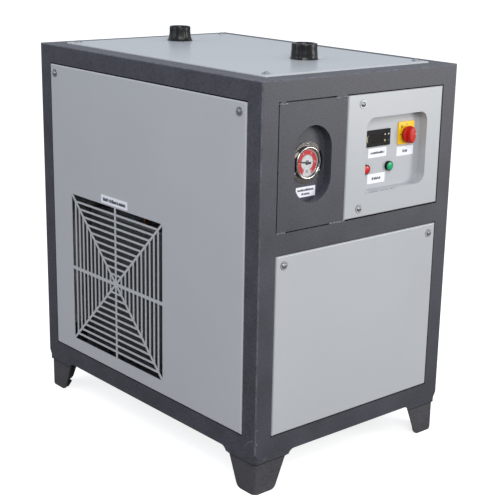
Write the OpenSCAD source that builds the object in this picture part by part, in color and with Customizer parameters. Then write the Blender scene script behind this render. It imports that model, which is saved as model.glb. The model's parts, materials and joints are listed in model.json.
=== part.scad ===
// Refrigerated compressed-air dryer in a free-standing sheet-metal cabinet.
// X runs along the front from left to right, Y from the front to the rear, Z up.
// The origin is on the floor under the middle of the cabinet.
// Inside the modules, x is counted from the left face, y from the front face and z from the floor.

/* [Cabinet] */
// Width of the cabinet
cab_w = 560; // [540:10:680]
// Depth of the cabinet
cab_d = 800; // [760:10:960]
// Height of the frame's top above the floor
cab_h = 860; // [830:10:1040]
// Height of the underside of the bottom rails
foot_h = 82; // [60:1:110]
// Face width of every post and rail
rail = 42; // [38:1:50]
// Sheet thickness of the frame
skin = 2; // [1.5:0.5:3]
// Outer bend radius of the frame
bend_r = 3; // [2.5:0.5:5]
// Depth of the returned lip round each window
lip_d = 12; // [10:1:16]
// Width of the panel seat behind each lip
seat_w = 28; // [26:1:30]
// Face width of the middle rail on the front
mid_rail = 43; // [38:1:60]

/* [Panels] */
// Sheet thickness of the light panels
panel_t = 1.5; // [1:0.5:2]
// Bend radius of a panel's edge
panel_r = 3; // [2:0.5:4]
// Gap between a panel and its window
panel_gap = 2.5; // [1:0.5:3]
// How far the panels stand proud of the frame
panel_proud = 1.5; // [0.5:0.5:2]
// How far the top panel stands proud of the frame
top_proud = 3; // [1:0.5:4]
// Distance of a screw from the panel's edges
screw_in = 20; // [16:1:22]

/* [Grilles] */
// Half the side of the square web
web_half = 180; // [150:2:210]
// Pitch of the rings
web_pitch = 15.8; // [14:0.2:20]
// Width of a ring's bar
web_bar = 4.5; // [3:0.5:6]
// Width of the upright and diagonal spokes
web_spoke = 5.5; // [4:0.5:8]
// Width of the level spoke
web_level = 7.5; // [5:0.5:9]
// Distance of the web's middle from the front
web_y = 496; // [420:1:520]
// Height of the web's middle
web_z = 339; // [330:1:380]

/* [Front recesses] */
// Height of the window that holds the gauge plate and the control door
control_h = 262; // [250:1:320]
// Width of the gauge plate
gauge_w = 182; // [170:1:200]
// Depth of both recesses
recess_d = 20; // [16:1:26]
// Height of both recesses
recess_h = 156; // [150:1:170]
// Distance of both recesses above the window's sill
recess_up = 53; // [46:1:60]
// Width of the gauge recess, which has round ends
oval_w = 100; // [92:1:110]
// Corner radius of the control recess
recess_r = 22; // [12:1:30]
// Distance of the control recess from the door's left edge
recess_in = 56; // [54:1:64]
// Distance of the control recess from the door's right edge
recess_right = 45; // [36:1:46]

/* [Controls] */
// Width of the temperature controller's bezel
ctl_w = 77; // [74:0.5:80]
// Height of the controller's bezel
ctl_h = 35; // [33:0.5:38]
// Travel of a key
key_travel = 0.5; // [0.3:0.1:0.8]
// Side of the main switch's yellow plate
plate_s = 49; // [44:1:52]
// Diameter of the main switch's knob
knob_d = 37; // [32:1:40]
// Diameter of a pilot lamp's lens
lamp_d = 17.5; // [16.5:0.5:24]
// Diameter of the gauge's flange
flange_d = 85; // [78:1:88]
// Diameter of the gauge's bezel
bezel_d = 68; // [62:1:72]

/* [Pipes] */
// Outer diameter of the air pipes
pipe_d = 48.3; // [33:0.1:60]
// Wall of the air pipes
pipe_wall = 3.2; // [2:0.1:5]
// Height of the pipe stubs above the top panel
stub_h = 34; // [28:1:60]
// Distance of the outlet pipe from the front
outlet_y = 216; // [200:1:260]
// Distance of the inlet pipe from the rear
inlet_back = 140; // [120:1:180]
// Distance of both pipes from the left face
pipe_x = 305; // [280:1:330]
// Bore of the drain outlet
drain_bore = 8; // [6:0.5:12]
// Bore of the power cable's gland
gland_bore = 12; // [9:0.5:14]

/* [Hidden] */
$fn = 48;
eps = 0.5;

// Windows of the frame
win_z0 = foot_h + rail;
win_z1 = cab_h - rail;
upper_z = win_z1 - control_h;
lower_h = upper_z - mid_rail - win_z0;
front_w = cab_w - 2 * rail;
side_w = cab_d - 2 * rail;
side_h = win_z1 - win_z0;
column = rail + seat_w;

// Shape of the feet
foot_top_w = 94;
foot_bottom_w = 60;
foot_round = 16;
foot_t = 3;
foot_inset = 5;
foot_bend = 6;
skirt_drop = 10;
skirt_fillet = 17;
skirt_run = sqrt(pow(skirt_fillet, 2) - pow(skirt_fillet - skirt_drop, 2));
nose_cut = 9;
nose_h = 16;
tip_cut = 8;
tip_h = 9;

// Fasteners
screw_d = 6;
screw_hole = 6.6;
head_d = 11;
head_h = 3.6;
washer_d = 18;
washer_t = 1.5;
slot_w = 1.3;

// Control door and its hinge
hinge_gap = 3.5;
hinge_in = 3.3;
hinge_back = 3.4;
pin_d = 3;
pin_fit = 0.05;
door_gap = 2;
door_depth = 8;
gauge_x0 = rail + panel_gap;
gauge_x1 = gauge_x0 + gauge_w;
door_x0 = gauge_x1 + door_gap;
door_x1 = cab_w - rail - hinge_gap;
door_w = door_x1 - door_x0;
door_z0 = upper_z + panel_gap;
door_z1 = win_z1 - panel_gap;
hinge_x = door_x1 - hinge_in;
door_screw_in = 41.5;
recess_z = upper_z + recess_up;
recess_x = door_x0 + recess_in;
recess_w = door_w - recess_in - recess_right;
recess_mid_z = recess_z + recess_h / 2;
gauge_x = gauge_x0 + 92.5;
mullion_x0 = gauge_x1 - 12;
mullion_x1 = recess_x - 6;
mullion_y = door_depth - panel_proud;

// Places on the control recess's floor, from its lower left corner
ctl_at = [recess_x + 52.5, recess_z + 107.5];
plate_at = [recess_x + 141, recess_z + 110.5];
switch_at = plate_at - [0, 3];
red_at = [recess_x + 21, recess_z + 44];
green_at = [recess_x + 91, recess_z + 44];
key_pitch = [11, 13];
key_at = [ctl_at[0] + 26, ctl_at[1]];
ctl_proud = 4;
ctl_body = [71, 60, 29];
key_d = 5;
key_fit = 0.06;
lamp_proud = 8;
lamp_ring = 6;
lamp_body_d = 16;
plate_t = 3;
neck_h = 5;
knob_h = 15;
knob_shaft = 6;
label_t = 0.4;

// Panel gauge
case_d = 60;
case_back = 26;
flange_t = 1.5;
bezel_h = 6.5;
dial_d = 60;
dial_y = recess_d - 2.4;
pointer_y = recess_d - 4.4;
pointer_t = 0.8;
pointer_rest = 280;
glass_y = recess_d - 5.9;

// Base and refrigeration parts
base_t = 3;
base_z = foot_h + skin + base_t;
coil_y = web_y - 16;
coil_w = 360;
coil_tubes = 13;
tube_pitch = 25.4;
coil_h = coil_tubes * tube_pitch;
coil_z = 150;
coil_x = 42;
coil_t = 66;
fin_pitch = 5;
fan_y = coil_y;
fan_z = coil_z + coil_h / 2;
fan_r = 145;
shroud_x = coil_x + coil_t;
shroud_t = 2;
shroud_l = 44;
rotor_x = shroud_x + 14;
motor_x = rotor_x + 52;
motor_d = 96;
motor_l = 72;
shaft_d = 8;
comp_at = [400, coil_y + 5];
comp_d = 190;
comp_h = 250;
comp_z = base_z + 24;
comp_port = 40;
exch_w = 180;
exch_l = cab_d - 220;
exch_h = 180;
exch_x = pipe_x - exch_w / 2;
exch_y = 150;
exch_z = cab_h - 300;
stand_y = [exch_y + 150, cab_d - 78];
leg_s = 30;
sep_at = [470, cab_d - 155];
sep_d = 90;
sep_z0 = 330;
sep_h = 290;
drier_at = [250, 250];
elbow_r = 16;
drain_z = 170;
valve_y = cab_d - 78;
solenoid_y = cab_d - 44;
gland_x = 120;
gland_z = 190;
rear_proud = 11;
exch_x1 = exch_x + exch_w;
inlet_y = cab_d - inlet_back;
stub_top = cab_h + top_proud + stub_h;

// ---- helpers ----

// Puts a part drawn from the cabinet's front left corner into the part's own frame.
module cab() { translate([-cab_w / 2, -cab_d / 2, 0]) children(); }

// Each face has its own frame: x along the face, y into the cabinet, z up the face.
module on_left() { translate([0, cab_d, 0]) rotate([0, 0, -90]) children(); }
module on_right() { translate([cab_w, 0, 0]) rotate([0, 0, 90]) children(); }
module on_rear() { translate([cab_w, cab_d, 0]) rotate([0, 0, 180]) children(); }
module on_top() { translate([0, 0, cab_h]) rotate([-90, 0, 0]) children(); }

// A cylinder along +Y, from y to y + h.
module rod_y(d, y, h) { translate([0, y, 0]) rotate([-90, 0, 0]) cylinder(d = d, h = h); }
// A cylinder along +X.
module rod_x(d, x, h) { translate([x, 0, 0]) rotate([0, 90, 0]) cylinder(d = d, h = h); }

// A straight rod between two points.
module run(a, b, d) {
    v = b - a;
    len = norm(v);
    translate(a) rotate([0, acos(v[2] / len), atan2(v[1], v[0])]) cylinder(d = d, h = len);
}
// A bent tube through the points, with an elbow of radius r at each turn.
function unit(v) = v / norm(v);
function turn_of(pts, i) = acos(unit(pts[i] - pts[i - 1]) * unit(pts[i + 1] - pts[i]));
function trim(pts, i, r) = i == 0 || i == len(pts) - 1 ? 0 : r * tan(turn_of(pts, i) / 2);
module tube(pts, d, r) {
    for (i = [0 : len(pts) - 2]) {
        along = unit(pts[i + 1] - pts[i]);
        run(pts[i] + along * trim(pts, i, r), pts[i + 1] - along * trim(pts, i + 1, r), d);
    }
    if (len(pts) > 2) for (i = [1 : len(pts) - 2]) {
        u = unit(pts[i] - pts[i - 1]);
        w = unit(pts[i + 1] - pts[i]);
        n = unit(w - u * (u * w));
        c = pts[i] - u * trim(pts, i, r) + n * r;
        z = cross(-n, u);
        multmatrix([[-n[0], u[0], z[0], c[0]], [-n[1], u[1], z[1], c[1]],
                [-n[2], u[2], z[2], c[2]], [0, 0, 0, 1]])
            rotate_extrude(angle = turn_of(pts, i)) translate([r, 0]) circle(d = d);
    }
}

module round_rect(w, h, r) {
    translate([r, 0]) square([w - 2 * r, h]);
    translate([0, r]) square([w, h - 2 * r]);
    for (x = [r, w - r], y = [r, h - r]) translate([x, y]) circle(r);
}
// A plan outline whose two front corners are round.
module front_round(w, d, r) {
    translate([r, 0]) square([w - 2 * r, d]);
    translate([0, r]) square([w, d - r]);
    for (x = [r, w - r]) translate([x, r]) circle(r);
}
// A block whose front face has bent edges: x, z on the face, y into the cabinet.
module bent_block(w, d, h, r) {
    intersection() {
        linear_extrude(h) front_round(w, d, r);
        translate([w, 0, 0]) rotate([0, -90, 0]) linear_extrude(w)
            translate([0, 0]) front_round(h, d, r);
    }
}
// A sheet-metal pan, open at the back.
module pan(w, h, d, t, r) {
    difference() {
        bent_block(w, d, h, r);
        translate([t, t, t]) cube([w - 2 * t, d, h - 2 * t]);
    }
}

// ---- frame ----

// The cabinet's outline, shrunk by off on every side.
module envelope(off) {
    r = max(bend_r - off, 0.5);
    w = cab_w - 2 * off;
    d = cab_d - 2 * off;
    h = cab_h - foot_h - 2 * off;
    translate([off, off, foot_h + off]) difference() {
        intersection() {
            linear_extrude(h) round_rect(w, d, r);
            translate([0, d, -r]) rotate([90, 0, 0]) linear_extrude(d) round_rect(w, h + r, r);
            translate([w, 0, -r]) rotate([0, -90, 0]) linear_extrude(w) round_rect(h + r, d, r);
        }
        for (mx = [0, 1], my = [0, 1])
            translate([mx * w, my * d, 0]) mirror([mx, 0, 0]) mirror([0, my, 0])
                translate([0, 0, nose_h]) corner_wedge(nose_cut, nose_h);
    }
}
// The slanted cut that draws a corner in by cut over a height of h, below its origin.
module corner_wedge(cut, h) {
    tilt = atan(cut / h / sqrt(2));
    rotate([0, -tilt, 45]) translate([-60, -60, -60]) cube([60, 120, 120]);
}
// One window: its lip, and the seat that the panel rests on.
module window_ring(x, z, w, h) {
    translate([x, 0, z]) difference() {
        translate([-skin, eps, -skin]) cube([w + 2 * skin, lip_d + skin - eps, h + 2 * skin]);
        translate([0, -1, 0]) cube([w, lip_d + 1, h]);
        translate([seat_w, 0, seat_w]) cube([w - 2 * seat_w, 99, h - 2 * seat_w]);
    }
}
module window_cut(x, z, w, h) { translate([x, -1, z]) cube([w, lip_d + 1, h]); }
module front_windows() {
    for (v = [[win_z0, lower_h], [upper_z, control_h]])
        translate([0, 0, v[0]]) children();
}
// The lower skirt of one corner, from which the foot hangs.
module skirt_profile() {
    difference() {
        square([foot_top_w + skirt_run, skirt_drop + 1]);
        translate([foot_top_w + skirt_run, skirt_drop - skirt_fillet]) circle(skirt_fillet);
    }
}
module skirt() {
    for (f = [0, 1]) mirror([f, -f, 0])
        translate([nose_cut, skin, foot_h - skirt_drop]) rotate([90, 0, 0]) linear_extrude(skin)
            translate([-nose_cut, 0]) intersection() {
                skirt_profile();
                translate([nose_cut, 0]) square([200, 50]);
            }
    // the slanted strip that closes the skirt's corner
    wide = nose_cut + skin * sqrt(2);
    translate([0, 0, foot_h - skirt_drop]) linear_extrude(skirt_drop + 1)
        polygon([[nose_cut, 0], [0, nose_cut], [0, wide], [wide, 0]]);
}
module at_corners() {
    for (mx = [0, 1], my = [0, 1])
        translate([mx * cab_w, my * cab_d, 0]) mirror([mx, 0, 0]) mirror([0, my, 0]) children();
}
// Screw places on a face: two at the top corners of the panel.
function top_pair(x, w, z) = [for (u = [x + screw_in + panel_gap, x + w - screw_in - panel_gap])
    [u, z]];
pair_z = win_z1 - panel_gap - screw_in;
low_pair_z = upper_z - mid_rail - panel_gap - screw_in;
side_pts = top_pair(rail, side_w, pair_z);
rear_pts = top_pair(rail, front_w, pair_z);
low_pts = top_pair(rail, front_w, low_pair_z);
top_pts = concat(top_pair(rail, front_w, rail + panel_gap + screw_in),
    top_pair(rail, front_w, cab_d - rail - panel_gap - screw_in));
module at_pts(pts) { for (p = pts) translate([p[0], 0, p[1]]) children(); }
// Every panel screw's place, on its own face, with the height of the face it clamps.
module at_panel_screws() {
    at_pts(low_pts) translate([0, -panel_proud, 0]) children();
    on_left() at_pts(side_pts) translate([0, -panel_proud, 0]) children();
    on_right() at_pts(side_pts) translate([0, -panel_proud, 0]) children();
    on_rear() at_pts(rear_pts) translate([0, -panel_proud, 0]) children();
    on_top() at_pts(top_pts) translate([0, -top_proud, 0]) children();
}

module frame_weldment() {
    difference() {
        union() {
            difference() {
                envelope(0);
                envelope(skin);
                window_cut(rail, win_z0, front_w, lower_h);
                window_cut(rail, upper_z, front_w, control_h);
                on_left() window_cut(rail, win_z0, side_w, side_h);
                on_right() window_cut(rail, win_z0, side_w, side_h);
                on_rear() window_cut(rail, win_z0, front_w, side_h);
                on_top() window_cut(rail, rail, front_w, side_w);
                translate([rail, rail, foot_h - 1]) cube([front_w, side_w, skin + 2]);
            }
            window_ring(rail, win_z0, front_w, lower_h);
            window_ring(rail, upper_z, front_w, control_h);
            on_left() window_ring(rail, win_z0, side_w, side_h);
            on_right() window_ring(rail, win_z0, side_w, side_h);
            on_rear() window_ring(rail, win_z0, front_w, side_h);
            on_top() window_ring(rail, rail, front_w, side_w);
            at_corners() skirt();
        }
        at_panel_screws() rod_y(screw_hole, 0, lip_d + 3 * skin + top_proud);
        translate([hinge_x, hinge_back, upper_z - 2 * skin])
            cylinder(d = pin_d + 2 * pin_fit, h = control_h + 4 * skin);
    }
}
module columns() {
    at_corners() translate([-1, -1, 0]) cube([foot_top_w + skirt_run + 1, column + 1, cab_h + 1]);
    at_corners() translate([-1, -1, 0]) cube([column + 1, foot_top_w + skirt_run + 1, cab_h + 1]);
}
rail_zone = rail + seat_w + 2;

module corner_posts() {
    color("#4a4b50") cab() intersection() {
        frame_weldment();
        columns();
    }
}
module top_rails() {
    color("#4a4b50") cab() difference() {
        intersection() {
            frame_weldment();
            translate([-1, -1, cab_h - rail_zone]) cube([cab_w + 2, cab_d + 2, rail_zone + 1]);
        }
        columns();
    }
}
module bottom_rails() {
    color("#4a4b50") cab() difference() {
        intersection() {
            frame_weldment();
            translate([-1, -1, 0]) cube([cab_w + 2, cab_d + 2, foot_h + rail_zone]);
        }
        columns();
    }
}
module front_mid_rail() {
    color("#4a4b50") cab() difference() {
        intersection() {
            frame_weldment();
            translate([0, -1, foot_h + rail_zone])
                cube([cab_w, lip_d + 2 * skin, cab_h - foot_h - 2 * rail_zone]);
        }
        columns();
    }
}
// A shallow channel behind the gap between the gauge plate and the door.
module front_mullion() {
    t = 1.5;
    color("#4a4b50") cab() difference() {
        translate([mullion_x0, mullion_y, upper_z])
            cube([mullion_x1 - mullion_x0, lip_d - mullion_y, control_h]);
        translate([mullion_x0 + t, mullion_y + t, upper_z - 1])
            cube([mullion_x1 - mullion_x0 - 2 * t, lip_d, control_h + 2]);
        at_pts(door_screw_pts()) rod_y(screw_d + 1, 0, lip_d);
    }
}

// The outline of one wing of a foot, with a round lower corner.
module wing_profile(h) {
    run_x = foot_top_w - foot_bottom_w;
    side_len = norm([run_x, h]);
    turn = acos(-run_x / side_len);
    t = foot_round / tan(turn / 2);
    mid = [foot_bottom_w - t, foot_round];
    up = [foot_bottom_w + t * run_x / side_len, t * h / side_len];
    polygon([[0, 0], [mid[0], 0], mid, up, [foot_top_w, h], [0, h]]);
    translate(mid) circle(foot_round);
}
module foot_wing() {
    translate([0, foot_inset + foot_t + foot_bend, 0]) rotate([90, 0, 0])
        linear_extrude(foot_t + foot_bend) intersection() {
            wing_profile(foot_h);
            translate([foot_inset, 0]) square([200, 200]);
        }
}
module foot() {
    intersection() {
        translate([foot_inset, foot_inset, 0]) linear_extrude(foot_h) difference() {
            round_rect(200, 200, foot_bend);
            translate([foot_t, foot_t]) round_rect(200, 200, foot_bend - foot_t);
        }
        for (f = [0, 1]) mirror([f, -f, 0]) foot_wing();
    }
    // sole and top flange
    inner = foot_inset + foot_t - 0.5;
    for (v = [[0, foot_bottom_w - 12], [foot_h - foot_t, foot_top_w - 6]])
        translate([inner, inner, v[0]]) linear_extrude(foot_t)
            polygon([[0, 0], [v[1] - inner, 0], [v[1] - inner, 16], [16, v[1] - inner],
                [0, v[1] - inner]]);
}
module feet() {
    color("#3c3d42") cab() at_corners() difference() {
        foot();
        translate([foot_inset, foot_inset, tip_h]) corner_wedge(tip_cut, tip_h);
    }
}

module base_plate() {
    color("#6d7075") cab() difference() {
        translate([skin + 1, skin + 1, foot_h + skin])
            cube([cab_w - 2 * skin - 2, cab_d - 2 * skin - 2, base_t]);
        at_corners() translate([0, 0, foot_h]) rotate([0, 0, 45]) translate([-20, -20, 0])
            cube([40, 40, 20]);
    }
}

// ---- panels ----

// The slots of the square web, seen from outside, about its middle.
module web_slots() {
    rings = floor((web_half - web_pitch) / web_pitch);
    first = web_half - rings * web_pitch;
    difference() {
        for (k = [0 : rings]) {
            inner = k == 0 ? web_spoke * 1.4 : first + (k - 1) * web_pitch + web_bar / 2;
            outer = k == rings ? web_half : first + k * web_pitch - web_bar / 2;
            difference() {
                square(2 * outer, center = true);
                square(2 * inner, center = true);
            }
        }
        square([web_spoke, 3 * web_half], center = true);
        square([3 * web_half, web_level], center = true);
        for (a = [45, -45]) rotate(a) square([4 * web_half, web_spoke], center = true);
    }
}
module face_panel(w, z, h, d) {
    translate([rail + panel_gap, -panel_proud, z + panel_gap])
        pan(w - 2 * panel_gap, h - 2 * panel_gap, d, panel_t, panel_r);
}
module side_panel(mid) {
    difference() {
        face_panel(side_w, win_z0, side_h, lip_d + panel_proud);
        translate([mid, 5, web_z]) rotate([90, 0, 0]) linear_extrude(12) web_slots();
        at_pts(side_pts) rod_y(screw_hole, -5, 20);
    }
}
module left_side_panel() { color("#b9bdc0") cab() on_left() side_panel(cab_d - web_y); }
module right_side_panel() { color("#b9bdc0") cab() on_right() side_panel(web_y); }
module rear_panel() {
    color("#b9bdc0") cab() on_rear() difference() {
        face_panel(front_w, win_z0, side_h, lip_d + panel_proud);
        at_pts(rear_pts) rod_y(screw_hole, -5, 20);
        translate([cab_w - sep_at[0], 0, drain_z]) rod_y(17.4, -5, 20);
        translate([cab_w - gland_x, 0, gland_z]) rod_y(20.4, -5, 20);
        for (i = [0 : 7]) translate([cab_w / 2 - 90, -5, win_z1 - 130 - 18 * i])
            cube([180, 9, 6]);
    }
}
module front_lower_panel() {
    color("#c4c9c8") cab() difference() {
        face_panel(front_w, win_z0, lower_h, lip_d + panel_proud);
        at_pts(low_pts) rod_y(screw_hole, -5, 20);
    }
}
module top_panel() {
    color("#c2c6cc") cab() on_top() difference() {
        translate([rail + panel_gap, -top_proud, rail + panel_gap])
            pan(front_w - 2 * panel_gap, side_w - 2 * panel_gap, lip_d + top_proud,
                panel_t, panel_r);
        at_pts(top_pts) rod_y(screw_hole, -8, 20);
        for (y = [outlet_y, inlet_y]) translate([pipe_x, 0, y]) rod_y(pipe_d + 3, -8, 20);
    }
}
// A recess with a straight wall and a flat floor, for a 2D outline.
module recess_shell(t) {
    rotate([90, 0, 0]) translate([0, 0, -recess_d - t]) linear_extrude(recess_d + t) children();
}
module oval(grow) {
    r = oval_w / 2 + grow;
    translate([gauge_x - r, recess_z - grow]) {
        translate([0, r]) square([2 * r, recess_h + 2 * grow - 2 * r]);
        for (y = [r, recess_h + 2 * grow - r]) translate([r, y]) circle(r);
    }
}
module control_outline(grow) {
    translate([recess_x - grow, recess_z - grow])
        round_rect(recess_w + 2 * grow, recess_h + 2 * grow, recess_r + grow);
}
module gauge_plate() {
    t = 1.5;
    land = 30;
    color("#4a4b50") cab() difference() {
        union() {
            translate([gauge_x0, 0, upper_z + panel_gap])
                cube([gauge_w, skin, control_h - 2 * panel_gap]);
            // welded lands along the top and the sill
            for (x = [gauge_x0 + 2, gauge_x1 - land]) translate([x, 0, upper_z])
                cube([x < gauge_x ? land / 2 : land, skin, control_h]);
            recess_shell(t) oval(t);
        }
        translate([0, -eps, 0]) rotate([90, 0, 0]) translate([0, 0, -recess_d - eps])
            linear_extrude(recess_d + eps + 5) oval(0);
        translate([gauge_x, 0, recess_mid_z]) {
            rod_y(case_d + 1, 10, 30);
            at_gauge_screws() rod_y(3.6, 10, 30);
        }
    }
}
module at_gauge_screws() {
    for (a = [90, 210, 330]) rotate([0, -a, 0]) translate([(flange_d + bezel_d) / 4, 0, 0])
        children();
}

// A cross-recessed pan-head screw along +Y: the clamped face is at y = 0.
module screw(reach) {
    difference() {
        intersection() {
            rod_y(head_d, -washer_t - head_h, head_h);
            translate([0, 4 - washer_t, 0]) sphere(r = head_h + 4, $fn = 48);
        }
        for (a = [0, 90]) rotate([0, a, 0]) translate([-3, -washer_t - head_h - 1, -slot_w / 2])
            cube([6, 3, slot_w]);
    }
    rod_y(screw_d, -washer_t - 1, reach + washer_t + 1);
}
module washer() {
    difference() {
        rod_y(washer_d, -washer_t, washer_t);
        rod_y(screw_hole, -washer_t - 1, washer_t + 2);
    }
}
module panel_screws() { color("#c9cccf") cab() at_panel_screws() screw(lip_d + 2 * skin + top_proud); }
module panel_washers() { color("#b4b7ba") cab() at_panel_screws() washer(); }

// ---- control door ----

function door_screw_pts() = [for (z = [door_z0 + 19, door_z1 - 20]) [door_x0 + door_screw_in, z]];

module control_door() {
    boss = 6.2;
    color("#c4c9c8") cab() difference() {
        union() {
            translate([door_x0, -panel_proud, door_z0])
                pan(door_w, door_z1 - door_z0, door_depth, panel_t, panel_r);
            recess_shell(panel_t) control_outline(panel_t);
            for (z = [door_z0 + 0.5, door_z1 - 14.5]) translate([hinge_x, hinge_back, z])
                cylinder(d = boss, h = 14);
        }
        translate([0, -5, 0]) rotate([90, 0, 0]) translate([0, 0, -recess_d - 5])
            linear_extrude(recess_d + 5 + panel_proud + eps) control_outline(0);
        translate([hinge_x, hinge_back, door_z0 - 1])
            cylinder(d = pin_d, h = door_z1 - door_z0 + 2);
        at_pts(door_screw_pts()) rod_y(screw_hole, -5, 20);
        translate([ctl_at[0] - ctl_body[0] / 2 - 0.3, 5, ctl_at[1] - ctl_body[2] / 2 - 0.3])
            cube([ctl_body[0] + 0.6, 40, ctl_body[2] + 0.6]);
        at_pts([red_at, green_at]) rod_y(lamp_body_d + 0.4, 5, 40);
        at_pts([switch_at]) rod_y(22.4, 5, 40);
    }
}
module hinge_pins() {
    color("#9a9da0") cab() for (z = [upper_z - skin, win_z1 + skin - 17])
        translate([hinge_x, hinge_back, z]) cylinder(d = pin_d, h = 17);
}
module door_screws() {
    color("#c9cccf") cab() at_pts(door_screw_pts()) translate([0, -panel_proud, 0]) {
        screw(lip_d + panel_proud - 1);
        difference() {
            rod_y(washer_d, -washer_t, washer_t);
            rod_y(screw_d - 1, -washer_t - 1, washer_t + 2);
        }
    }
}
function key_place(i) = [key_at[0] + (i % 2 - 0.5) * key_pitch[0],
    key_at[1] + (i < 2 ? 0.5 : -0.5) * key_pitch[1]];
module controller() {
    win = [34, 20];
    color("#16171a") cab() difference() {
        union() {
            translate([ctl_at[0] - ctl_w / 2, recess_d - ctl_proud, ctl_at[1] - ctl_h / 2])
                bent_block(ctl_w, ctl_proud, ctl_h, 1.5);
            translate([ctl_at[0] - ctl_body[0] / 2, recess_d - 0.5, ctl_at[1] - ctl_body[2] / 2])
                cube(ctl_body);
        }
        for (i = [0 : 3]) at_pts([key_place(i)]) rod_y(key_d + 2 * key_fit, 0, recess_d - ctl_proud + 2.4);
        translate([ctl_at[0] - 20, recess_d - ctl_proud - 1, ctl_at[1] - win[1] / 2])
            cube([win[0], 1.8, win[1]]);
    }
}
module controller_window() {
    color("#241418") cab()
        translate([ctl_at[0] - 20 + 0.1, recess_d - ctl_proud + 0.2, ctl_at[1] - 9.9])
            cube([33.8, 0.6, 19.8]);
}
module controller_key(i) {
    color("#e8e8e0") cab() at_pts([key_place(i)]) {
        rod_y(key_d, recess_d - ctl_proud - 0.7, 2.2);
        rod_y(key_d - 2, recess_d - ctl_proud - 0.4, 2.2);
    }
}
module controller_key_1() { controller_key(0); }
module controller_key_2() { controller_key(1); }
module controller_key_3() { controller_key(2); }
module controller_key_4() { controller_key(3); }

module isolator_plate() {
    color("#f2b90c") cab() difference() {
        translate([plate_at[0] - plate_s / 2, recess_d - plate_t, plate_at[1] - plate_s / 2])
            bent_block(plate_s, plate_t, plate_s, 1);
        at_pts([switch_at]) rod_y(knob_shaft + 3, 0, 40);
    }
}
module isolator_body() {
    color("#202124") cab() difference() {
        union() {
            at_pts([switch_at]) rod_y(22, recess_d, 6);
            translate([switch_at[0] - 22, recess_d + panel_t, switch_at[1] - 22]) cube([44, 44, 44]);
        }
        at_pts([switch_at]) rod_y(knob_shaft + 0.1, 0, recess_d + 30);
    }
}
module isolator_knob() {
    y0 = recess_d - plate_t - neck_h;
    color("#cf2a22") cab() at_pts([switch_at]) {
        rod_y(knob_d - 9, y0 - eps, neck_h + eps - 0.4);
        rod_y(knob_d, y0 - 9, 9);
        rod_y(knob_shaft, y0 - 1, recess_d + 28 - y0);
        intersection() {
            rod_y(knob_d - 1.5, y0 - knob_h, knob_h - 4);
            translate([-7, y0 - knob_h, -knob_d / 2]) cube([14, knob_h, knob_d]);
        }
    }
}
module lamp_bodies() {
    color("#2a2c2e") cab() at_pts([red_at, green_at]) {
        difference() {
            rod_y(lamp_d + 3, recess_d - lamp_ring, lamp_ring);
            rod_y(lamp_d + 0.2, recess_d - lamp_ring - 1, lamp_ring);
        }
        rod_y(lamp_body_d, recess_d - 0.5, 42);
    }
}
module lens(p) {
    cab() at_pts([p]) intersection() {
        rod_y(lamp_d, recess_d - lamp_proud, lamp_proud - 1);
        translate([0, recess_d - lamp_proud + 19, 0]) sphere(r = 19, $fn = 64);
    }
}
module red_lens() { color("#d01c1c") lens(red_at); }
module green_lens() { color("#12a05a") lens(green_at); }

module label(p, w, h, y) {
    translate([p[0] - w / 2, y - label_t, p[1] - h / 2]) cube([w, label_t, h]);
}
module door_labels() {
    color("#eef0f4") cab() {
        label([ctl_at[0] + 4, ctl_at[1] - 31.5], 55, 20, recess_d);
        label([plate_at[0] + 1, plate_at[1] - 39.5], 52, 20, recess_d);
        label([red_at[0] + 35, red_at[1] - 23], 53, 21, recess_d);
    }
}
module cabinet_labels() {
    color("#eef0f4") cab() {
        label([gauge_x, recess_z + 18.5], 53, 21, recess_d);
        on_left() label([cab_d - web_y - 2, web_z + web_half + 13], 104, 19, -panel_proud);
    }
}

// ---- gauge ----

module at_gauge() { translate([gauge_x, 0, recess_mid_z]) children(); }
module gauge_case() {
    color("#c8cacc") cab() at_gauge() difference() {
        union() {
            rod_y(flange_d, recess_d - flange_t, flange_t);
            rod_y(case_d, recess_d - 1, case_back + 1);
            translate([-8, recess_d + case_back - 1, -8]) cube([16, 18, 16]);
        }
        rod_y(dial_d - 1, 0, recess_d + 6);
        rod_y(5, recess_d, 60);
        at_gauge_screws() rod_y(3.6, 0, 40);
    }
}
module gauge_bezel() {
    y0 = recess_d - flange_t - bezel_h;
    color("#d4d6d8") cab() at_gauge() rotate([90, 0, 0]) rotate_extrude($fn = 96)
        difference() {
            union() {
                translate([dial_d / 2 + 0.2, -recess_d + flange_t])
                    square([(bezel_d - dial_d) / 2 - 0.2, bezel_h - 2]);
                translate([bezel_d / 2 - 2, -y0 - 2]) circle(2);
                translate([dial_d / 2 - 2, -y0 - 2]) square([(bezel_d - dial_d) / 2, 2]);
            }
            translate([0, -y0 - 3.5]) square([dial_d / 2 + 0.2, 1.5]);
        }
}
module gauge_dial() {
    color("#f4f4f2") cab() at_gauge() {
        rod_y(dial_d - 2, dial_y, 1);
        rod_y(1.6, pointer_y - 0.3, dial_y - pointer_y + 1);
        rod_y(10, dial_y + 0.5, recess_d + 6 - dial_y - 0.5);
    }
}
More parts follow.
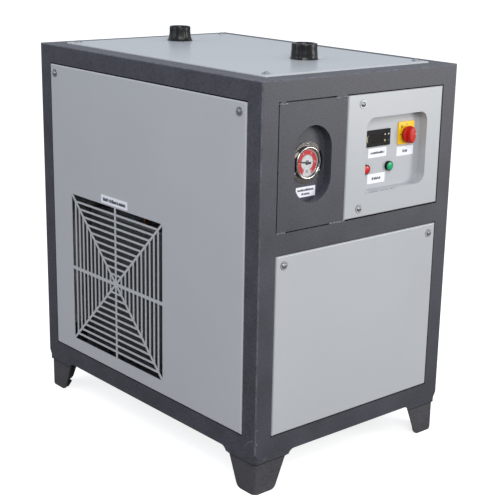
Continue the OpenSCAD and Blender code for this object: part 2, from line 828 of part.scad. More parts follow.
// A tapered pointer with a counterweight tail.
module gauge_pointer() {
    tip = dial_d / 2 - 6;
    tail = 9;
    color("#141414") cab() at_gauge() rotate([0, pointer_rest, 0]) difference() {
        union() {
            rod_y(6, pointer_y, pointer_t);
            translate([0, pointer_y + pointer_t, 0]) rotate([90, 0, 0]) linear_extrude(pointer_t) {
                polygon([[-1.4, 0], [-0.35, tip], [0.35, tip], [1.4, 0]]);
                polygon([[-1.1, 0], [-2.2, -tail], [2.2, -tail], [1.1, 0]]);
            }
        }
        rod_y(1.7, 0, 40);
    }
}
module gauge_glass() {
    color([0.85, 0.9, 0.95, 0.3]) cab() at_gauge() rod_y(dial_d, glass_y, 1.2);
}
module gauge_screws() {
    color("#c9cccf") cab() at_gauge() at_gauge_screws() {
        intersection() {
            rod_y(6.4, recess_d - flange_t - 2.4, 2.4);
            translate([0, recess_d - flange_t + 2.2, 0]) sphere(r = 4.6);
        }
        rod_y(3.4, recess_d - flange_t - 0.5, 9);
    }
}

// ---- condenser and fan ----

module condenser_coil() {
    fins = floor((coil_w - 12) / fin_pitch);
    color("#7f8387") cab() {
        difference() {
            translate([coil_x, coil_y - coil_w / 2, coil_z]) cube([coil_t, coil_w, coil_h]);
            for (i = [0 : fins - 1], x = [coil_x - 1, coil_x + coil_t - 5])
                translate([x, coil_y - coil_w / 2 + 8 + i * fin_pitch, coil_z + 4])
                    cube([6, fin_pitch * 0.6, coil_h - 8]);
        }
        for (i = [0 : coil_tubes - 2], s = [-1, 1]) if ((i + (s > 0 ? 1 : 0)) % 2 == 0)
            translate([coil_x + coil_t / 2, coil_y + s * (coil_w / 2 - 0.5),
                coil_z + tube_pitch * (i + 1)]) return_bend(s);
    }
}
// A hairpin bend that joins two neighbouring tubes.
module return_bend(s) {
    rotate([0, 0, s > 0 ? 0 : 180]) rotate([90, 0, 90]) rotate_extrude(angle = 180, start = -90)
        translate([tube_pitch / 2, 0]) circle(d = 9.5);
}
module condenser_frame() {
    t = 2;
    color("#5b5e62") cab() for (s = [-1, 1]) difference() {
        translate([coil_x - 4, s > 0 ? coil_y + coil_w / 2 : coil_y - coil_w / 2 - 22, base_z])
            cube([coil_t + 4, 22, coil_z + coil_h - base_z]);
        translate([coil_x - 5, s > 0 ? coil_y + coil_w / 2 - 1 : coil_y - coil_w / 2 - 22 + t, base_z + t])
            cube([coil_t + 6, 21, coil_z + coil_h]);
    }
}
module fan_shroud() {
    h = coil_h + 20;
    w = coil_w + 44;
    color("#8d9095") cab() {
        difference() {
            union() {
                translate([shroud_x, coil_y - w / 2, base_z]) cube([shroud_t, w, coil_z + coil_h - base_z]);
                translate([0, fan_y, fan_z]) rod_x(2 * fan_r + 8 + 2 * shroud_t, shroud_x, shroud_l);
            }
            translate([0, fan_y, fan_z]) rod_x(2 * fan_r + 8, shroud_x - 1, shroud_l + 2);
        }
        // floor flange
        translate([shroud_x, coil_y - w / 2, base_z]) cube([24, w, shroud_t]);
    }
}
module fan_motor() {
    arm = fan_r + 5;
    color("#2b2d30") cab() translate([0, fan_y, fan_z]) {
        difference() {
            union() {
                rod_x(motor_d, motor_x, motor_l);
                rod_x(motor_d - 30, motor_x + motor_l - 1, 8);
                rod_x(26, motor_x - 6, 8);
            }
            rod_x(shaft_d + 0.1, motor_x - 10, 50);
        }
        for (a = [45 : 90 : 315]) rotate([a, 0, 0]) {
            translate([0, 0, arm]) rod_x(9, shroud_x + shroud_l, 16);
            run([shroud_x + shroud_l + 13, 0, arm], [motor_x + 30, 0, motor_d / 2 - 4], 6);
        }
    }
}
module fan_rotor() {
    blades = 5;
    color("#b8bcc0") cab() translate([0, fan_y, fan_z]) {
        rod_x(70, rotor_x, 30);
        rod_x(shaft_d, rotor_x + 10, motor_x + 36 - rotor_x - 10);
        for (i = [0 : blades - 1]) rotate([i * 360 / blades, 0, 0]) intersection() {
            translate([rotor_x + 15, 0, 30]) rotate([0, 0, 32]) translate([-1, -44, 0]) cube([2, 88, 140]);
            rod_x(2 * fan_r - 4, rotor_x - 40, 100);
        }
    }
}

// ---- refrigeration and air circuits ----

module compressor() {
    dome = 22;
    color("#1d1e20") cab() translate([comp_at[0], comp_at[1], comp_z]) {
        translate([0, 0, dome]) cylinder(d = comp_d, h = comp_h - 2 * dome);
        for (z = [dome, comp_h - dome]) intersection() {
            cylinder(d = comp_d, h = comp_h);
            translate([0, 0, z < comp_h / 2 ? 205 : comp_h - 205]) sphere(r = 205, $fn = 96);
        }
        translate([0, 0, comp_h / 2]) cylinder(d = comp_d + 8, h = 6);
        translate([-comp_d / 2 - 18, -30, comp_h / 2 - 60]) cube([40, 60, 70]);
        difference() {
            translate([-comp_d / 2 - 6, -comp_d / 2 - 6, -2]) cube([comp_d + 12, comp_d + 12, 4]);
            at_mounts() cylinder(d = 16, h = 30, center = true);
        }
        cylinder(d = comp_d - 60, h = 12);
        for (x = [-1, 1]) translate([x * comp_port, 0, comp_h - dome]) cylinder(d = 20, h = dome + 6);
    }
}
module at_mounts() {
    for (x = [-1, 1], y = [-1, 1]) translate([x * (comp_d / 2 - 8), y * (comp_d / 2 - 8), 0]) children();
}
module compressor_mounts() {
    color("#17181a") cab() translate([comp_at[0], comp_at[1], base_z]) at_mounts() {
        cylinder(d = 30, h = comp_z - base_z - 2);
        cylinder(d = 15.6, h = comp_z - base_z + 8);
        translate([0, 0, comp_z - base_z + 2]) cylinder(d = 26, h = 5);
    }
}
module heat_exchanger() {
    color("#232428") cab() difference() {
        translate([exch_x, exch_y, exch_z]) linear_extrude(exch_h) round_rect(exch_w, exch_l, 18);
        for (y = [outlet_y, inlet_y]) translate([pipe_x, y, exch_z + exch_h - 30])
            cylinder(d = pipe_d + 0.2, h = 40);
    }
}
module exchanger_stand() {
    color("#6d7075") cab() for (y = stand_y) {
        for (x = [exch_x + 8, exch_x1 - 8 - leg_s]) translate([x, y, base_z])
            cube([leg_s, leg_s, exch_z - base_z - 3]);
        translate([exch_x, y, exch_z - 4]) cube([exch_w, leg_s, 4]);
    }
}
module moisture_separator() {
    drop = [sep_at[0], sep_at[1], drain_z];
    color("#8a8d91") cab() {
        translate([sep_at[0], sep_at[1], sep_z0]) {
            cylinder(d = sep_d, h = sep_h);
            intersection() {
                translate([0, 0, -20]) cylinder(d = sep_d, h = 40);
                translate([0, 0, 45]) sphere(r = 62);
            }
        }
        tube([drop + [0, 0, sep_z0 - 10 - drain_z], drop, [sep_at[0], valve_y - 16, drain_z]], 14, 20);
        run([exch_x1, sep_at[1], sep_z0 + sep_h - 25], [sep_at[0], sep_at[1], sep_z0 + sep_h - 25], 26);
    }
}
module filter_drier() {
    color("#2c5a3a") cab() translate([drier_at[0], drier_at[1], base_z]) {
        translate([0, 0, 60]) cylinder(d = 44, h = 110);
        translate([0, 0, 30]) cylinder(d1 = 12, d2 = 44, h = 30);
        translate([0, 0, 170]) cylinder(d1 = 44, d2 = 12, h = 30);
        translate([26, -16, 0]) cube([4, 32, 120]);
        translate([-10, -16, 0]) cube([40, 32, 3]);
        translate([11, -4, 80]) cube([16, 8, 30]);
    }
}
// Discharge, suction and liquid lines, the expansion capillary and the gauge's capillary.
module refrigerant_lines() {
    port = comp_z + comp_h + 6;
    coil_top = coil_z + coil_h;
    over = coil_top + 30;
    mid = coil_x + coil_t / 2;
    low = base_z + 14;
    color("#b06a3c") cab() {
        tube([[comp_at[0] - comp_port, comp_at[1], port], [comp_at[0] - comp_port, comp_at[1], over],
            [mid, comp_at[1], over], [mid, comp_at[1], coil_top]], 10, elbow_r);
        tube([[comp_at[0] + comp_port, comp_at[1], port], [comp_at[0] + comp_port, comp_at[1], exch_z + 60],
            [exch_x1, comp_at[1], exch_z + 60]], 16, elbow_r + 4);
        tube([[drier_at[0], drier_at[1], base_z + 30], [drier_at[0], drier_at[1], low],
            [mid, drier_at[1], low], [mid, drier_at[1], over],
            [mid, coil_y - coil_w / 2 + 40, over], [mid, coil_y - coil_w / 2 + 40, coil_top]],
            8, elbow_r - 4);
        run([drier_at[0], drier_at[1], base_z + 200], [drier_at[0], drier_at[1], exch_z], 6);
        tube([[gauge_x, recess_d + case_back + 17, recess_mid_z],
            [gauge_x, recess_d + case_back + 50, recess_mid_z],
            [exch_x + 30, recess_d + case_back + 50, recess_mid_z],
            [exch_x + 30, exch_y, recess_mid_z]], 6, elbow_r);
    }
}
module air_pipes() {
    color("#6f7276") cab() for (y = [outlet_y, inlet_y])
        translate([pipe_x, y, exch_z + exch_h - 30]) difference() {
            cylinder(d = pipe_d, h = stub_top - 1.5 - (exch_z + exch_h - 30));
            translate([0, 0, -1]) cylinder(d = pipe_d - 2 * pipe_wall, h = 400);
        }
}
// Black film wrapped tightly over each stub, with a flared hem.
module pipe_sleeves() {
    film = 1;
    r0 = pipe_d / 2 + 0.1;
    z0 = cab_h + top_proud;
    color("#0f1012") cab() for (y = [outlet_y, inlet_y]) translate([pipe_x, y, z0])
        rotate_extrude($fn = 96) {
            translate([r0, 0]) square([film, stub_h]);
            translate([pipe_d / 2 - pipe_wall, stub_h - 1.2]) square([pipe_wall + film, 1.2]);
            polygon([[r0 + film - 0.2, 0], [r0 + 4, 0], [r0 + 4, 0.8], [r0 + film, 12]]);
        }
}

// ---- drain ----

module strainer_valve() {
    color("#b48a3c") cab() translate([sep_at[0], valve_y, drain_z]) difference() {
        union() {
            rod_y(22, -16, 32);
            rotate([-45, 0, 0]) translate([0, 0, -34]) cylinder(d = 18, h = 34);
            cylinder(d = 14, h = 20);
        }
        translate([0, 0, 8]) cylinder(d = 6.1, h = 30);
        rod_y(14, -20, 5);
    }
}
module strainer_lever() {
    color("#c62a24") cab() translate([sep_at[0], valve_y, drain_z]) {
        translate([0, 0, 9]) cylinder(d = 6, h = 16);
        translate([0, 0, 20.4]) cylinder(d = 13, h = 3);
        translate([-5.5, -58, 20.4]) cube([11, 58, 2.5]);
    }
}
module auto_drain() {
    color("#1b1c1f") cab() translate([sep_at[0], solenoid_y, drain_z]) {
        difference() {
            union() {
                rod_y(20, -18, 26);
                translate([-16, -14, 9]) cube([32, 30, 39]);
                translate([-24, -18, 47.5]) cube([48, 36, 34]);
            }
            for (x = [-12, 12]) translate([x, 0, 0]) timer_hole(8.1);
            timer_hole(6.1);
        }
    }
}
module timer_hole(d) { translate([0, 0, 76]) cylinder(d = d, h = 30); }
module timer_knob(x) {
    cab() translate([sep_at[0] + x, solenoid_y, drain_z + 76.3]) difference() {
        union() {
            cylinder(d = 8, h = 6);
            translate([0, 0, 5.8]) cylinder(d = 10, h = 4);
        }
        translate([-6, -0.6, 8.6]) cube([12, 1.2, 3]);
    }
}
module timer_knobs_on() { color("#d8dadc") timer_knob(-12); }
module timer_knobs_off() { color("#d8dadc") timer_knob(12); }
module test_button() {
    color("#c62a24") cab() translate([sep_at[0], solenoid_y, drain_z + 78.3]) cylinder(d = 6, h = 6);
}
module drain_outlet() {
    y0 = solenoid_y + 8;
    color("#b48a3c") cab() translate([sep_at[0], 0, drain_z]) difference() {
        union() {
            rod_y(17, y0, cab_d + rear_proud - y0);
            rod_y(30, cab_d + panel_proud, 4);
        }
        rod_y(drain_bore, y0 + 8, 60);
    }
}
module cable_gland() {
    color("#2b2d30") cab() translate([gland_x, 0, gland_z]) difference() {
        union() {
            rod_y(20, cab_d - 16, 16 + rear_proud);
            translate([0, cab_d + panel_proud, 0]) rotate([-90, 0, 0])
                cylinder(d = 28, h = 4, $fn = 6);
            translate([0, cab_d - 12, 0]) rotate([-90, 0, 0])
                cylinder(d = 28, h = 5, $fn = 6);
        }
        rod_y(gland_bore, cab_d - 20, 60);
    }
}

corner_posts();
top_rails();
bottom_rails();
front_mid_rail();
front_mullion();
feet();
base_plate();
left_side_panel();
right_side_panel();
rear_panel();
front_lower_panel();
top_panel();
gauge_plate();
panel_screws();
panel_washers();
control_door();
hinge_pins();
door_screws();
controller();
controller_window();
controller_key_1();
controller_key_2();
controller_key_3();
controller_key_4();
isolator_plate();
isolator_body();
isolator_knob();
lamp_bodies();
red_lens();
green_lens();
door_labels();
cabinet_labels();
gauge_case();
gauge_bezel();
gauge_dial();
gauge_pointer();
gauge_glass();
gauge_screws();
condenser_coil();
condenser_frame();
fan_shroud();
fan_motor();
fan_rotor();
compressor();
compressor_mounts();
heat_exchanger();
exchanger_stand();
moisture_separator();
filter_drier();
refrigerant_lines();
air_pipes();
pipe_sleeves();
strainer_valve();
strainer_lever();
auto_drain();
timer_knobs_on();
timer_knobs_off();
test_button();
drain_outlet();
cable_gland();
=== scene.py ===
# %% [markdown]
# # A refrigerated air dryer
# The cabinet comes in as a finished CAD model whose parts already sit in the right place and on
# the right moving bodies. The cells below give every part its finish and add the small pieces
# that a maker would print, wrap, weld or polish: the film on the pipe stubs, the gauge's face, the
# knob, the labels' print. Everything is in metres, with the floor at z = 0.

# %% Load the frame
import json
import math
import random
import bmesh
import bpy
from mathutils import Matrix, Vector, noise


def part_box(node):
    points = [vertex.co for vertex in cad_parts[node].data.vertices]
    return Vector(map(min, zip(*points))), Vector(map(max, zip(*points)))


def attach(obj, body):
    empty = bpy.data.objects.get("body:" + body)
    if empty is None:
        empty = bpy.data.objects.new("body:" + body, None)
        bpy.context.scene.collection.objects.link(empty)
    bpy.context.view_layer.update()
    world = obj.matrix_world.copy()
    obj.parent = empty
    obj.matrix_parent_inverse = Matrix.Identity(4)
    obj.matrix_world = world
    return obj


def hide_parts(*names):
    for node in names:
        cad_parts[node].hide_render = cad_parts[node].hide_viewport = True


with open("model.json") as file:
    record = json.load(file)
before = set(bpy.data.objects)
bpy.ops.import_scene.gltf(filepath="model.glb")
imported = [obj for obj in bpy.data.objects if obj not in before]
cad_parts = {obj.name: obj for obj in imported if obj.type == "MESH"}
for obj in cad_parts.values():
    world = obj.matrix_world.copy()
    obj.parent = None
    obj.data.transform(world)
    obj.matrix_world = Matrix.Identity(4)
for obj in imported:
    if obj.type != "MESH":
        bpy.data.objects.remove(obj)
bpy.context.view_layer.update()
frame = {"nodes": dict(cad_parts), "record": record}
MM = 0.001

# %% [markdown]
# ## Camera
# A machine this size is seen from a standing person's eye, a little above its top and off its
# front left corner. The camera could be aimed with a constraint, but its direction is written as
# three angles here, so that each can be read and changed on its own. A long lens keeps the
# cabinet's edges nearly parallel.

# %% The camera
VIEW_AZIMUTH = math.radians(41.73)
VIEW_ELEVATION = math.radians(16.13)
VIEW_ROLL = math.radians(1.41)
EYE = Vector((-1.7292, -2.0634, 1.1520))
LENS_MM = 84.85
SHIFT = (-0.0444, 0.0196)


def camera_axes():
    """The camera's right, up and backward directions, rolled about its line of sight."""
    forward = Vector((math.sin(VIEW_AZIMUTH) * math.cos(VIEW_ELEVATION),
                      math.cos(VIEW_AZIMUTH) * math.cos(VIEW_ELEVATION),
                      -math.sin(VIEW_ELEVATION)))
    right = forward.cross(Vector((0, 0, 1))).normalized()
    up = right.cross(forward)
    c, s = math.cos(VIEW_ROLL), math.sin(VIEW_ROLL)
    return right * c + up * s, up * c - right * s, -forward


camera_data = bpy.data.cameras.new("camera")
camera_data.lens = LENS_MM
camera_data.shift_x, camera_data.shift_y = SHIFT
camera = bpy.data.objects.new("camera", camera_data)
camera.matrix_world = Matrix.Translation(EYE) @ Matrix(camera_axes()).transposed().to_4x4()
bpy.context.scene.collection.objects.link(camera)
bpy.context.scene.camera = camera
print("camera at", [round(v, 3) for v in camera.location])

# %% [markdown]
# ## Nodes
# Light and finishes are small networks of nodes. Each node could be made and wired by hand, but
# one function that adds a node with its settings and links keeps every network short to read.

# %% Add a node
def add(tree, kind, inputs=None, **settings):
    """Adds a node, gives it its settings, and sets or links its inputs."""
    node = tree.nodes.new("ShaderNode" + kind)
    for key, value in settings.items():
        setattr(node, key, value)
    for key, value in (inputs or {}).items():
        if isinstance(value, bpy.types.NodeSocket):
            tree.links.new(value, node.inputs[key])
        else:
            node.inputs[key].default_value = value
    return node


print("node helper ready")

# %% [markdown]
# ## Light
# A machine shows its shape best in a bright, even studio, as for a catalogue. A pale room shines
# from all round. A key lamp stands behind the viewer's left shoulder, and one as strong stands
# low, out to the right of the front. Two weak ones fill in from high above and from the left. The
# front face is then the bright one, the long left side falls into a soft shade, and every bent
# sheet edge that turns towards the viewer catches the key. The camera sees the room itself as
# plain white.

# %% The studio
AMBIENT, AMBIENT_TINT = 0.70, (0.87, 0.92, 1.0, 1)
WHITE = (1, 1, 1, 1)
world = bpy.data.worlds.new("studio")
bpy.context.scene.world = world
world.use_nodes = True
room = world.node_tree
room.nodes.clear()
ambient = add(room, "Background", {"Color": AMBIENT_TINT, "Strength": AMBIENT})
backdrop = add(room, "Background", {"Color": WHITE, "Strength": 1.0})
seen = add(room, "LightPath")
choose = add(room, "MixShader", {"Fac": seen.outputs["Is Camera Ray"], 1: ambient.outputs[0],
                                 2: backdrop.outputs[0]})
add(room, "OutputWorld", {"Surface": choose.outputs[0]})
bpy.context.scene.view_settings.view_transform = "Standard"
print("room strength", AMBIENT)


# %% The lamps
def soft_lamp(name, place, aim, size, power, tint):
    """A round lamp of size metres at place, pointed at aim, that the camera doesn't see."""
    lamp = bpy.data.lights.new(name, "AREA")
    lamp.shape = "DISK"
    lamp.size = size
    lamp.energy = power
    lamp.color = tint
    holder = bpy.data.objects.new(name, lamp)
    way = (Vector(aim) - Vector(place)).to_track_quat("-Z", "Y")
    holder.matrix_world = Matrix.Translation(place) @ way.to_matrix().to_4x4()
    holder.visible_camera = False
    bpy.context.scene.collection.objects.link(holder)


WARM, COOL = (1.0, 0.985, 0.96), (0.92, 0.96, 1.0)
# Name, place, aim, size in metres, power in watts and tint.
LAMPS = [("lamp_key", (-1.7, -3.0, 2.5), (0, 0, 0.45), 1.8, 74, WARM),
         ("lamp_right", (2.9, -3.4, 1.0), (0, 0, 0.45), 1.9, 76, WARM),
         ("lamp_above", (0.2, 0.4, 3.6), (0, 0, 0.5), 3.0, 16, COOL),
         ("lamp_left", (-3.2, 0.6, 1.4), (0, 0, 0.5), 1.8, 16, COOL)]
for row in LAMPS:
    soft_lamp(*row)
print("lamps", [row[0] for row in LAMPS])

# %% [markdown]
# ## Helpers for finishes
# A painted, plated or moulded surface is never one flat colour: its shade and gloss drift in soft
# patches, and a fine grit breaks up what it mirrors. One function builds that network for every
# finish, and each finish then gives it its own numbers. Patterns read Object coordinates in
# metres, so a pattern's scale is one over its real size.

# %% Colours and scales
def linear(code):
    """The linear colour for an sRGB hex value."""
    out = []
    for i in (0, 2, 4):
        c = int(code[i:i + 2], 16) / 255
        out.append(c / 12.92 if c <= 0.04045 else ((c + 0.055) / 1.055) ** 2.4)
    return (*out, 1.0)


def per_mm(size_mm):
    """The texture scale that makes a pattern's features about size_mm wide."""
    return 1000.0 / size_mm


print("mid grey is", [round(c, 3) for c in linear("808080")])

# %% One function makes every finish
FINISHES = {}
# The range that a noise texture's values mostly keep to.
NOISE_LOW, NOISE_HIGH = 0.3, 0.7


def finish(name, dark, light, patch_mm, rough, grit_mm, grit_height_mm, stretch=(1, 1, 1),
           speck=0.0, **shader):
    """A coloured surface: two close shades in soft patches, uneven gloss and a fine relief.

    Rough is the roughness of the two shades. Stretch draws the patterns out along an axis. Speck
    is how strongly the grit also changes the shade, for a coat with visible grains. Anything else
    is a constant for the shader's own socket."""
    material = bpy.data.materials.new(name)
    material.use_nodes = True
    tree = material.node_tree
    tree.nodes.clear()
    place = add(tree, "TexCoord").outputs["Object"]
    place = add(tree, "Mapping", {"Vector": place, "Scale": stretch}).outputs["Vector"]
    patch = add(tree, "TexNoise", {"Vector": place, "Scale": per_mm(patch_mm), "Detail": 4.0})
    grit = add(tree, "TexNoise", {"Vector": place, "Scale": per_mm(grit_mm), "Detail": 3.0})
    grain = add(tree, "MapRange", {"Value": grit.outputs["Fac"], "From Min": NOISE_LOW,
                                   "From Max": NOISE_HIGH, "To Min": -speck, "To Max": speck})
    blend = add(tree, "Math", {0: patch.outputs["Fac"], 1: grain.outputs["Result"]},
                operation="ADD", use_clamp=True)
    shade = add(tree, "Mix", {0: blend.outputs[0], 6: linear(dark), 7: linear(light)},
                data_type="RGBA")
    gloss = add(tree, "MapRange", {"Value": patch.outputs["Fac"], "To Min": rough[0],
                                   "To Max": rough[1]})
    relief = add(tree, "Bump", {"Height": grit.outputs["Fac"], "Distance": grit_height_mm * MM,
                                "Strength": 1.0})
    body = add(tree, "BsdfPrincipled", {"Base Color": shade.outputs[2],
                                        "Roughness": gloss.outputs["Result"],
                                        "Normal": relief.outputs["Normal"]})
    for key, value in shader.items():
        body.inputs[key.replace("_", " ")].default_value = value
    add(tree, "OutputMaterial", {"Surface": body.outputs["BSDF"]})
    FINISHES[name] = material
    return material


def node_of(material, kind):
    """The first node of a kind in a material's network."""
    return next(n for n in material.node_tree.nodes if n.bl_idname == "ShaderNode" + kind)


print("helpers ready")

# %% [markdown]
# ## Paints
# Both greys are polyester powder coat, sprayed dry and baked. The dark one is a fine-textured
# grade: its grit breaks up reflections into a satin. The light one is a smoother semi-gloss
# with a faint orange peel, so it mirrors the pipe stubs as soft dark streaks. Real grit is about
# 0.3 mm, too fine to show, so it is drawn ten times as coarse.

# %% Powder coats
# Textured powder coat on the frame: bluish charcoal with a sandy, broken satin.
frame_coat = finish("powder_coat_dark_textured", "32333A", "4A4B54", 70, (0.40, 0.52), 3.2, 0.10,
                    speck=0.45, IOR=1.45)
# The same coat on the feet: a little browner and paler.
foot_coat = finish("powder_coat_dark_feet", "39383B", "504E53", 60, (0.40, 0.52), 3.2, 0.10,
                   speck=0.45, IOR=1.45)
# Smooth powder coat on the panels: an even cool grey with broad, soft reflections.
panel_coat = finish("powder_coat_light_semigloss", "AEB1B5", "B6B9BD", 240, (0.27, 0.33), 3.0,
                    0.012, speck=0.12, IOR=1.42)
print("paints", frame_coat.name, foot_coat.name, panel_coat.name)

# %% [markdown]
# ## Rubbed edges
# The frame's outer edges are rubbed when the cabinet is moved, so the coat is a little paler
# there, more in some places than in others. The mask needs no image: on the surface of a box, a
# point is near an edge when its distances to two of the box's faces are both small.

# %% Rubbed edges on the frame
# The wear is full within RUBBED_MM of an edge and ends at EDGE_MM.
RUBBED_MM, EDGE_MM = 0.4, 3.2
# It comes in patches: noise from WEAR_LOW to WEAR_HIGH turns into the least to the full wear.
WEAR_PATCH_MM, WEAR_LOW, WEAR_HIGH, LEAST_WEAR = 14, 0.35, 0.7, 0.25
FRAME_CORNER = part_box("corner_posts")[1]


def rub_edges(material, worn_hex, strength):
    """Blends a worn shade into a finish along the frame's outer edges."""
    tree = material.node_tree
    shade = node_of(material, "Mix")
    body = node_of(material, "BsdfPrincipled")
    place = add(tree, "TexCoord").outputs["Object"]
    split = add(tree, "SeparateXYZ", {"Vector": place})
    gaps = []
    for axis, limit in (("X", FRAME_CORNER.x), ("Y", FRAME_CORNER.y)):
        size = add(tree, "Math", {0: split.outputs[axis]}, operation="ABSOLUTE")
        gaps.append(add(tree, "Math", {0: limit, 1: size.outputs[0]}, operation="SUBTRACT"))
    gaps.append(add(tree, "Math", {0: FRAME_CORNER.z, 1: split.outputs["Z"]},
                    operation="SUBTRACT"))
    pairs = [add(tree, "Math", {0: gaps[i].outputs[0], 1: gaps[j].outputs[0]}, operation="ADD")
             for i, j in ((0, 1), (1, 2), (0, 2))]
    least = add(tree, "Math", {0: pairs[0].outputs[0], 1: pairs[1].outputs[0]},
                operation="MINIMUM")
    least = add(tree, "Math", {0: least.outputs[0], 1: pairs[2].outputs[0]}, operation="MINIMUM")
    near = add(tree, "MapRange", {"Value": least.outputs[0], "From Min": RUBBED_MM * MM,
                                  "From Max": EDGE_MM * MM, "To Min": 1.0, "To Max": 0.0})
    uneven = add(tree, "TexNoise", {"Vector": place, "Scale": per_mm(WEAR_PATCH_MM),
                                    "Detail": 5.0})
    worn = add(tree, "MapRange", {"Value": uneven.outputs["Fac"], "From Min": WEAR_LOW,
                                  "From Max": WEAR_HIGH, "To Min": LEAST_WEAR * strength,
                                  "To Max": strength})
    mask = add(tree, "Math", {0: near.outputs["Result"], 1: worn.outputs["Result"]},
               operation="MULTIPLY")
    mixed = add(tree, "Mix", {0: mask.outputs[0], 6: shade.outputs[2], 7: linear(worn_hex)},
                data_type="RGBA")
    tree.links.new(mixed.outputs[2], body.inputs["Base Color"])


rub_edges(frame_coat, "8A8B94", 0.8)
print("edges rubbed")

# %% [markdown]
# ## Metals
# Each entry is one real finish: its two shades, the size of its patches, its gloss, and the size
# and height of its relief in millimetres. Rolled or drawn metal gets its lines by stretching
# the pattern along one axis.

# %% Metals
# Hot-dip galvanised steel: dull grey with faint spangles a few millimetres wide.
finish("galvanised_sheet", "7F8386", "A2A6A9", 9, (0.34, 0.52), 3.0, 0.01, Metallic=0.9)
# Bright zinc on fasteners: a soft metallic sparkle, never a mirror.
finish("zinc_plated_steel", "888B8F", "B0B3B6", 6, (0.38, 0.50), 0.8, 0.006, Metallic=1.0)
# Satin-chromed steel: a dark, brownish metal shine with blurred reflections.
finish("satin_steel", "565452", "6E6C69", 12, (0.14, 0.22), 0.8, 0.002, Metallic=1.0)
# Polished chrome: nearly a mirror, so it shows the room as bright and dark bands.
finish("polished_chrome", "A5A29E", "B8B5B1", 20, (0.07, 0.13), 3.0, 0.004, Metallic=1.0)
# Mill-finish aluminium: dull silver, with lines drawn out along the fins.
finish("rolled_aluminium_fins", "6A6E72", "888C90", 14, (0.38, 0.55), 0.9, 0.02,
       stretch=(1, 1, 0.15), Metallic=0.9)
# Drawn copper, dulled by handling: warm brown with a soft shine.
finish("drawn_copper_tube", "8A5030", "A06642", 22, (0.24, 0.42), 1.2, 0.006, Metallic=1.0)
# Machined brass: yellow metal with a clean, slightly streaked shine.
finish("machined_brass", "A88240", "C49C55", 12, (0.22, 0.34), 0.9, 0.006, Metallic=1.0)
# Steel tube with its mill scale: blotchy dark brown-grey, half dull.
finish("mill_scale_steel_tube", "3E3B38", "5A5753", 16, (0.35, 0.55), 1.5, 0.03, Metallic=0.8)
print("metals done,", len(FINISHES), "finishes so far")

# %% [markdown]
# ## Plastics
# Moulded parts take their gloss from the mould: matt on the controller, satin on the switch,
# polished on the lenses and the display. A dark plastic in a pale studio easily turns grey, so the
# darkest ones reflect less than plain plastic would.

# %% Plastics
# Moulded ABS, matt: near black that hardly catches the lamps.
finish("moulded_black_plastic", "0B0B0D", "111113", 30, (0.42, 0.52), 0.6, 0.012,
       Specular_IOR_Level=0.15)
# Smoked acrylic: as dark as the bezel, but smoother.
finish("smoked_display_window", "08070A", "0D0B10", 40, (0.08, 0.14), 5.0, 0.002,
       Specular_IOR_Level=0.2)
# Moulded ABS, ivory: a warm off-white that stands out on the black.
finish("moulded_pale_keys", "DCD9C2", "E8E6D2", 8, (0.35, 0.45), 0.6, 0.01)
# Moulded polycarbonate, signal yellow: strong colour under a soft gloss.
finish("moulded_yellow_plastic", "F8C414", "FDCF20", 30, (0.34, 0.42), 1.2, 0.01, IOR=1.4)
# Moulded polyamide, signal red: deep colour, with broad soft highlights.
finish("moulded_red_plastic", "B8170C", "C82212", 22, (0.34, 0.44), 1.2, 0.01,
       Specular_IOR_Level=0.3)
# Tinted acrylic lens: saturated red with one small highlight.
finish("clear_red_lens", "BC0E0E", "CE1816", 10, (0.16, 0.24), 1.6, 0.03, Coat_Weight=0.1,
       Specular_IOR_Level=0.3)
# Tinted acrylic lens: saturated green with one small highlight.
finish("clear_green_lens", "01965F", "04AC72", 10, (0.16, 0.24), 1.6, 0.03, Coat_Weight=0.1,
       Specular_IOR_Level=0.3)
print("plastics done,", len(FINISHES), "finishes so far")

# %% [markdown]
# ## Labels and the dial
# Printed matter is flat ink on film or enamel. Each colour is its own finish, because each is its
# own thin solid further down.

# %% Labels and the dial
# Laminated vinyl: clean bluish white with a faint sheen.
finish("white_label_film", "E4E6F2", "EEF0F8", 18, (0.30, 0.42), 2.0, 0.01)
# Thermal-transfer print: flat dark grey. The same black is the painted shade under the door's
# recess.
finish("black_print_and_painted_shade", "24252B", "30313A", 5, (0.4, 0.5), 1.0, 0.004)
# Enamelled aluminium dial: smooth, shaded to light grey under its glass.
finish("enamelled_white_dial", "CFD1D4", "D9DADC", 16, (0.30, 0.36), 1.0, 0.003)
# Screen-printed ink: flat, strong red.
finish("red_dial_print", "C2161B", "CC1F25", 8, (0.44, 0.52), 1.0, 0.003)
# Black-enamelled steel: a crisp dark shape on the dial.
finish("black_enamelled_pointer", "08080A", "101012", 8, (0.35, 0.45), 1.0, 0.003,
       Specular_IOR_Level=0.3)
print("print done,", len(FINISHES), "finishes so far")

# %% [markdown]
# ## Enamel, rubber and film
# Shells and motors are stoved, mounts and lagging are dull rubber and foam, and the shipping film
# is thin polythene that wrinkles. The wrinkles are a coarse relief, drawn out along the pipe.

# %% Enamel, rubber and film
# Stoved enamel: deep black with a broad gloss, on shells and motors.
finish("stoved_black_enamel", "17181A", "212225", 40, (0.22, 0.34), 1.8, 0.02, Coat_Weight=0.2)
# Moulded rubber: soft, dull black.
finish("vulcanised_rubber", "121212", "1B1B1B", 20, (0.62, 0.75), 0.9, 0.03)
# Painted shade: the blackest and dullest finish, a black that stands for the shadow deep in a
# narrow gap.
finish("black_painted_shade", "040405", "08080A", 20, (0.85, 0.95), 1.2, 0.05,
       Specular_IOR_Level=0.1)
# Nitrile foam lagging: charcoal, with a pebbled skin.
finish("nitrile_foam_lagging", "1E1F22", "2A2B2E", 12, (0.74, 0.88), 2.2, 0.25)
# Stoved enamel on the filter drier: dark green with a satin gloss.
finish("stoved_green_enamel", "26553A", "2E6445", 30, (0.28, 0.38), 1.6, 0.02)
